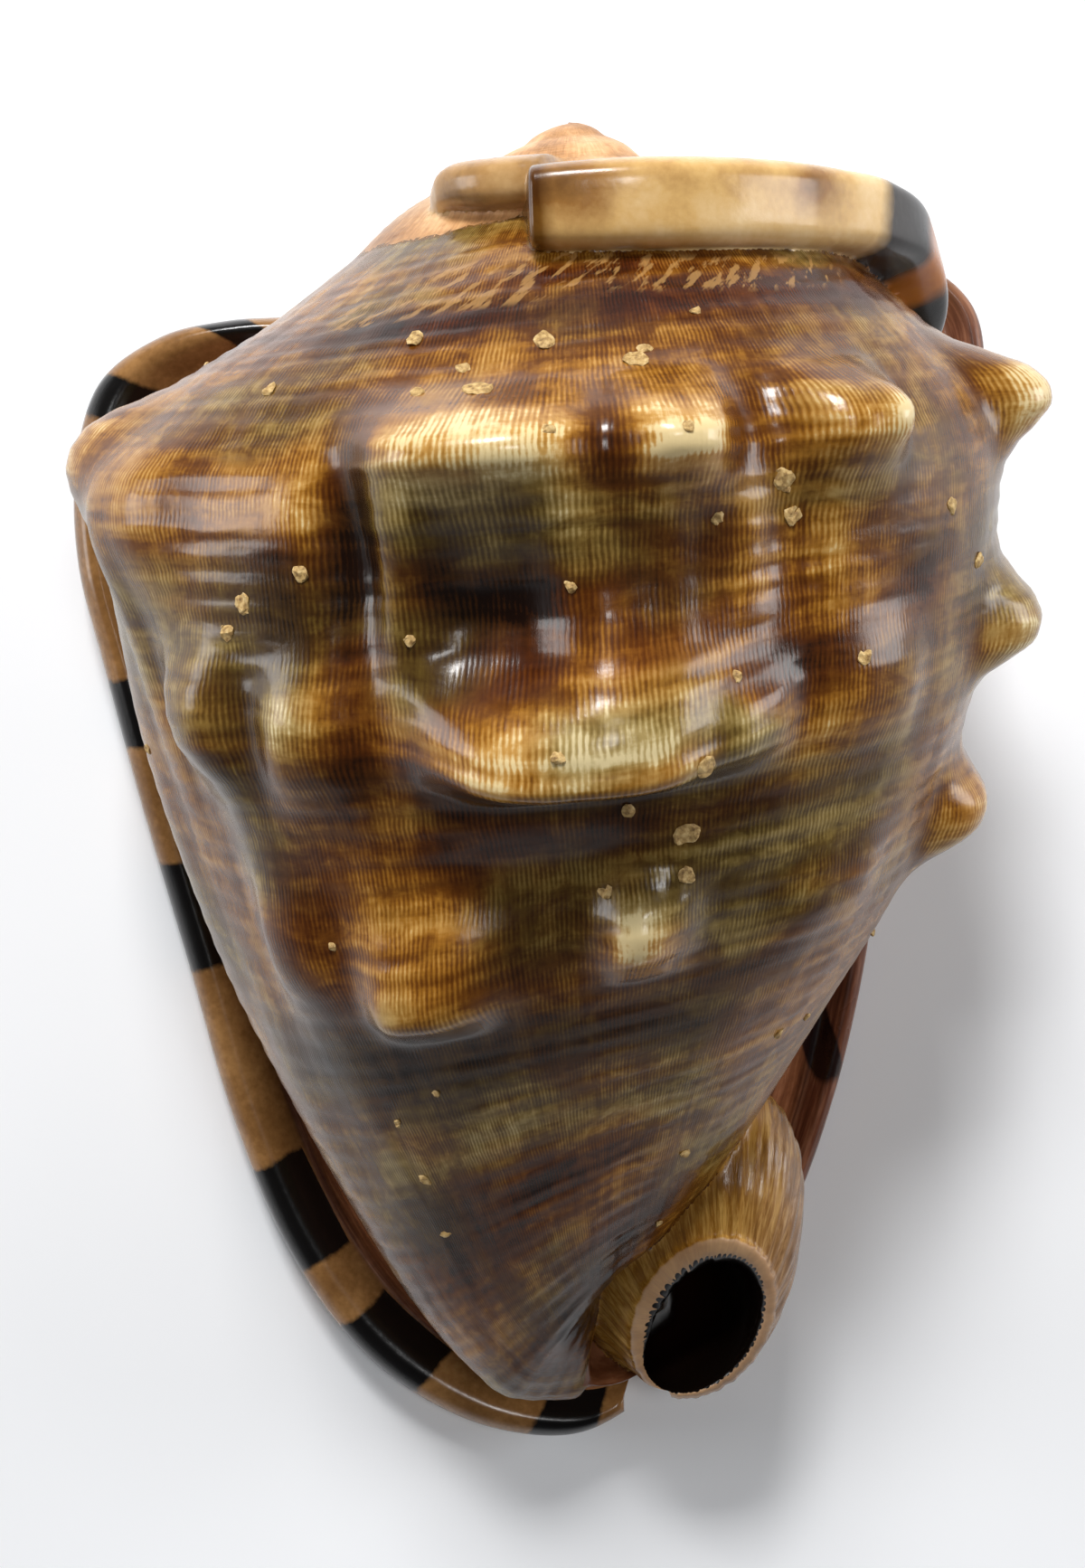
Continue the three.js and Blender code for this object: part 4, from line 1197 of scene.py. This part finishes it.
def shellMaterial(made):
    made.use_nodes = True
    tree = made.node_tree
    tree.nodes.clear()
    result = tree.nodes.new("ShaderNodeOutputMaterial")
    surface = tree.nodes.new("ShaderNodeBsdfPrincipled")
    tree.links.new(surface.outputs[0], result.inputs["Surface"])
    way = node(tree, "ShaderNodeSeparateXYZ", {"Vector": attributeValue(tree, "coilMap", "Vector")})
    turn, run = out(tree, way, 0), out(tree, way, 1)
    part = attributeValue(tree, "part")
    tone, golden, purple, bar, ridge = (
        attributeValue(tree, name) for name in ("tone", "golden", "purple", "bar", "ridge"))
    place = Wire(tree, tree.nodes.new("ShaderNodeTexCoord").outputs["Object"])
    specks = node(tree, "ShaderNodeGroup", {"Position": place}, node_tree=speckleTree)
    fine, coarse = out(tree, specks, "Fine"), out(tree, specks, "Coarse")
    pattern = node(tree, "ShaderNodeGroup", {"Turn": turn, "Run": run}, node_tree=patternTree)
    patchy, streaks, threads, cords, axial, broad = (
        out(tree, pattern, name) for name in ("Patches", "Streaks", "Threads", "Cords", "Axial", "Broad"))

    def isPart(number):
        return calc(tree, "COMPARE", part, float(number), 0.5)

    # the turns
    paler = calc(tree, "MINIMUM", tone, 0.0) * 0.6
    darker = calc(tree, "MAXIMUM", tone, 0.0) * 0.64
    blocks = step(tree, 0.38, 0.62, patchy + (axial - 0.5) * 0.16 + (streaks - 0.5) * 0.16)
    # the last term paints shade into creases and makes ridges paler
    dark = (0.45 + paler + darker + (blocks - 0.5) * 0.18 + (patchy - 0.5) * 0.22 + (streaks - 0.5) * 0.18
            + (axial - 0.5) * 0.34 + threads * 0.1 + cords * -0.06 + (fine - 0.5) * 0.22 - ridge * 0.3)
    warm = step(tree, 0.3, 0.7, 0.56 + golden * 0.5 + (broad - 0.5) * 1.2 + (patchy - 0.5) * 0.4)
    turnColour = blend(tree, warm, colourRamp(tree, dark, oliveRamp), colourRamp(tree, dark, goldenRamp))
    purpleTint = blend(tree, 1.0, turnColour, linear(196, 150, 160), "MULTIPLY")
    purpleMask = step(tree, 0.15, 0.8, purple + (coarse - 0.5) * 0.8) * 0.75
    turnColour = blend(tree, purpleMask, turnColour, purpleTint)
    dashes = noise(tree, combined(tree, turn * 0.36 + run * 0.36, run * 0.22, 6.0), 1.0, 3.0, 0.6)
    dashMask = step(tree, 0.52, 0.6, dashes) * step(tree, 0.1, 0.6, attributeValue(tree, "dashed"))
    turnColour = blend(tree, dashMask * 0.55, turnColour, linear(176, 134, 78))
    # turns of the spire are paler and rougher
    spire = step(tree, 330.0, 420.0, turn)
    spireColour = colourRamp(tree, 0.4 + (coarse - 0.5) * 1.2 + (axial - 0.5) * 0.6 + (fine - 0.5) * 0.4,
                             [(0.0, (236, 200, 150)), (0.4, (196, 146, 96)), (0.75, (130, 84, 44)),
                              (1.0, (60, 34, 16))])
    turnColour = blend(tree, spire, turnColour, spireColour)

    # the rim: tan roll with black bars, brown groove, glossy pale shield below
    onRoll = step(tree, 3.0, 3.6, run) * (1.0 - step(tree, 5.9, 6.4, run))
    rollColour = colourRamp(tree, 0.45 + (coarse - 0.5) * 0.9 + (fine - 0.5) * 0.5,
                            [(0.0, (176, 132, 82)), (0.5, (128, 90, 50)), (1.0, (76, 44, 16))])
    wallStreaks = noise(tree, combined(tree, turn / 20.0, run * 2.2), 1.0, 4.0, 0.6)
    wall = colourRamp(tree, 0.5 + (wallStreaks - 0.5) * 1.6 + (fine - 0.5) * 0.3,
                      [(0.0, (168, 112, 78)), (0.5, (112, 66, 40)), (1.0, (48, 18, 8))])
    broadSpots = noise(tree, place, 38.0, 3.0, 0.5)
    soleStreaks = noise(tree, combined(tree, turn / 40.0, run), 1.0, 2.0)
    below = colourRamp(tree, 0.42 + (broadSpots - 0.5) * 1.7 + (soleStreaks - 0.5) * 0.7 + (fine - 0.5) * 0.08,
                       [(0.0, (244, 214, 168)), (0.4, (226, 172, 116)), (0.66, (196, 126, 72)),
                        (1.0, (96, 46, 20))])
    # by the slit the teeth stand on cream enamel, with brown between them
    enamel = colourRamp(tree, noise(tree, combined(tree, turn / 4.0, run * 0.6, 8.0), 1.0, 2.0, 0.5),
                        [(0.35, (246, 232, 206)), (0.55, (214, 160, 104)), (0.66, (92, 44, 20))])
    below = blend(tree, 1.0 - step(tree, 0.9, 2.0, run), below, enamel)
    shieldSide = attributeValue(tree, "shieldSide")
    flangeStreaks = noise(tree, combined(tree, turn / 14.0, run * 3.5, 2.0), 1.0, 4.0, 0.6)
    flange = colourRamp(tree, 0.5 + (flangeStreaks - 0.5) * 1.8,
                        [(0.0, (164, 112, 82)), (0.5, (106, 62, 42)), (1.0, (46, 18, 10))])
    rollColour = blend(tree, shieldSide, rollColour, flange)
    rimColour = blend(tree, onRoll, wall, rollColour)
    rimColour = blend(tree, calc(tree, "LESS_THAN", run, 3.2), rimColour, below)
    # painted shade: the shield's hollow is coloured near black
    pit = step(tree, 0.3, 0.6, attributeValue(tree, "pit") + (coarse - 0.5) * 0.5)
    rimColour = blend(tree, pit, rimColour, linear(30, 11, 7))
    barMask = step(tree, -0.6, 0.6, bar + (coarse - 0.5) * 2.4 + (fine - 0.5) * 0.8)
    rimColour = blend(tree, barMask, rimColour, linear(14, 12, 11))

    # old lips: cream block with gold and black stripes at its right end
    lipTone = 0.2 + (coarse - 0.5) * 0.7 + (fine - 0.5) * 0.2
    cream = colourRamp(tree, lipTone + attributeValue(tree, "lipSpots"),
                       [(0.0, (232, 204, 156)), (0.3, (208, 168, 106)), (0.6, (150, 106, 54)),
                        (1.0, (62, 32, 14))])
    stripes = colourRamp(tree, turn + (coarse - 0.5) * 0.03, [
        (0.0, (120, 100, 60)), (0.06, (150, 128, 84)), (0.1, (255, 255, 255)), (0.59, (255, 255, 255)),
        (0.62, (30, 18, 10)), (0.72, (12, 10, 8)), (0.745, (200, 140, 50)), (0.79, (200, 140, 50)),
        (0.81, (14, 12, 10)), (1.0, (14, 12, 10))])
    oldColour = blend(tree, 1.0, cream, stripes, "MULTIPLY")
    olderColour = colourRamp(tree, 0.5 + (coarse - 0.5) * 1.4 + (fine - 0.5) * 0.3,
                             [(0.0, (214, 178, 126)), (0.5, (172, 132, 82)), (1.0, (80, 52, 26))])

    # the snout: golden towards the body, pinkish grey on the outside
    xyz = node(tree, "ShaderNodeSeparateXYZ", {"Vector": place})
    acrossSnout = ((out(tree, xyz, 0) - 0.028) * snout["long"][1]
                   + (out(tree, xyz, 1) + 0.076) * -snout["long"][0])
    outside = step(tree, -0.006, 0.012, acrossSnout + (coarse - 0.5) * 0.01)
    striae = noise(tree, combined(tree, run * 90.0, turn * 5.0, 4.0), 1.0, 4.0, 0.75, 0.5)
    snoutTone = 0.31 + (striae - 0.5) * 1.3 + (coarse - 0.5) * 0.5
    towardsBody = colourRamp(tree, snoutTone, [(0.0, (214, 168, 88)), (0.35, (150, 102, 34)),
                                               (0.65, (98, 58, 16)), (1.0, (46, 24, 8))])
    awayFromBody = colourRamp(tree, snoutTone, [(0.0, (176, 142, 106)), (0.35, (124, 92, 64)),
                                                (0.65, (88, 62, 40)), (1.0, (52, 32, 20))])
    snoutColour = blend(tree, outside, towardsBody, awayFromBody)
    edgeColour = colourRamp(tree, 0.4 + (coarse - 0.5) * 1.2, [(0.0, (206, 168, 130)), (1.0, (120, 82, 54))])
    snoutColour = blend(tree, step(tree, 0.945, 0.965, turn) * 0.8, snoutColour, edgeColour)
    # painted shade: the inside of the hollows is coloured near black, darkest from 3 cm up
    inside = colourRamp(tree, step(tree, 0.0, 0.03, out(tree, xyz, 2)), [(0.0, (44, 18, 8)), (1.0, (10, 5, 3))])
    tooth = colourRamp(tree, 0.3 + (coarse - 0.5), [(0.0, (252, 240, 216)), (1.0, (226, 186, 130))])

    colour = turnColour
    for number, own in ((2, rimColour), (3, oldColour), (4, olderColour), (5, snoutColour), (6, inside),
                        (7, tooth)):
        colour = blend(tree, isPart(number), colour, own)
    feed(tree, surface.inputs["Base Color"], colour)
    feed(tree, surface.inputs["Roughness"], gloss["roughness"] + (coarse - 0.5) * 0.14 + spire * 0.25)
    height = ((threads * 0.012 + cords * 0.035 + (axial - 0.5) * 0.09) * isPart(1) + (coarse - 0.5) * 0.2
              + (fine - 0.5) * 0.05 + (striae - 0.5) * 0.3 * isPart(5))
    bump = node(tree, "ShaderNodeBump", {"Strength": gloss["bump"], "Distance": 0.001, "Height": height})
    tree.links.new(bump.outputs[0], surface.inputs["Normal"])
    surface.inputs["Coat Weight"].default_value = gloss["coat"]
    surface.inputs["Coat Roughness"].default_value = gloss["coatRoughness"]
    surface.inputs["Specular IOR Level"].default_value = gloss["specular"]
    surface.inputs["IOR"].default_value = gloss["ior"]


shellMaterial(shellFinish)
shell.data.materials.clear()
shell.data.materials.append(shellFinish)
shell.data.polygons.foreach_set("material_index", np.zeros(len(shell.data.polygons), np.int32))
print("material made")


def crustMaterial():
    made = bpy.data.materials.new("sandyCrust")
    made.use_nodes = True
    tree = made.node_tree
    surface = tree.nodes["Principled BSDF"]
    place = Wire(tree, tree.nodes.new("ShaderNodeTexCoord").outputs["Object"])
    specks = node(tree, "ShaderNodeGroup", {"Position": place, "Size": 0.7}, node_tree=speckleTree)
    feed(tree, surface.inputs["Base Color"], colourRamp(tree, out(tree, specks, "Fine"), [
        (0.3, (112, 80, 40)), (0.5, (180, 146, 88)), (0.7, (214, 186, 130))]))
    surface.inputs["Roughness"].default_value = 0.7
    return made


crustHolder = crustTable(shell.data)
flakes = faceOut(runTree("crustFlakes", crustTree(), {
    "Table": crustHolder, "Thickness": crust["thick"] * mm, "Raggedness": crust["ragged"] * mm,
    "Seed": crust["seed"], "Material": crustMaterial()}))
bpy.data.objects.remove(crustHolder)
with bpy.context.temp_override(active_object=shell, selected_editable_objects=[shell, flakes]):
    bpy.ops.object.join()
print("crust added", len(shell.data.polygons))

for helper in (knobTable, outlineHolder):
    bpy.data.objects.remove(helper)

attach(shell, "root")
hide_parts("shell")

# floor, lights and camera
studio = {
    "floorSize": 9.0, "floorColour": (247, 248, 250), "worldStrength": 0.6,
    # place, aimed at the shell, size, power
    "lights": [((-0.15, 1.0, 0.95), 0.34, 19.5), ((1.35, 0.3, 0.4), 0.6, 8.5), ((-1.35, 0.2, 0.4), 0.6, 7.5),
               ((0.2, 0.25, 1.4), 0.2, 3.2)],
    "aim": (0, 0, 0.05), "lens": 47.17, "cameraPlace": (2.15, 7.34, 365.0),
}


def plainMaterial(name, colour, roughness):
    made = bpy.data.materials.new(name)
    made.use_nodes = True
    tree = made.node_tree
    surface = tree.nodes["Principled BSDF"]
    place = Wire(tree, tree.nodes.new("ShaderNodeTexCoord").outputs["Object"])
    shade = noise(tree, place, 6.0, 3.0)
    darker = linear(*(v - 4 for v in colour))
    feed(tree, surface.inputs["Base Color"],
         blend(tree, step(tree, 0.35, 0.65, shade), linear(*colour), darker))
    surface.inputs["Roughness"].default_value = roughness
    return made


half = studio["floorSize"] / 2
floorMesh = bpy.data.meshes.new("tableTop")
floorMesh.from_pydata([(-half, -half, 0), (half, -half, 0), (half, half, 0), (-half, half, 0)], [],
                      [(0, 1, 2, 3)])
floor = bpy.data.objects.new("tableTop", floorMesh)
bpy.context.scene.collection.objects.link(floor)
floorMesh.materials.append(plainMaterial("paleTableTop", studio["floorColour"], 0.45))
for n, (lampPlace, size, power) in enumerate(studio["lights"]):
    lamp = bpy.data.lights.new(f"softLight{n}", "AREA")
    lamp.size, lamp.energy = size, power
    holder = bpy.data.objects.new(lamp.name, lamp)
    holder.location = lampPlace
    holder.rotation_euler = (Vector(studio["aim"]) - Vector(lampPlace)).to_track_quat("-Z", "Y").to_euler()
    bpy.context.scene.collection.objects.link(holder)
world = bpy.data.worlds.new("softWorld")
world.use_nodes = True
sky = world.node_tree
skyWay = Wire(sky, sky.nodes.new("ShaderNodeTexCoord").outputs["Generated"])
direction = node(sky, "ShaderNodeSeparateXYZ", {"Vector": skyWay})
feed(sky, sky.nodes["Background"].inputs["Color"], colourRamp(sky, out(sky, direction, 2), [
    (0.0, (246, 247, 250)), (0.12, (236, 238, 242)), (0.4, (110, 112, 116)), (1.0, (70, 72, 76))]))
sky.nodes["Background"].inputs["Strength"].default_value = studio["worldStrength"]
bpy.context.scene.world = world
bpy.context.scene.view_settings.view_transform = "Standard"

cameraData = bpy.data.cameras.new("viewCamera")
cameraData.lens = studio["lens"]
cameraData.sensor_width = 36
cameraData.clip_start = 0.01
camera = bpy.data.objects.new("viewCamera", cameraData)
camera.location = [v * mm for v in studio["cameraPlace"]]
bpy.context.scene.collection.objects.link(camera)
bpy.context.scene.camera = camera

print("shell faces", len(shell.data.polygons))
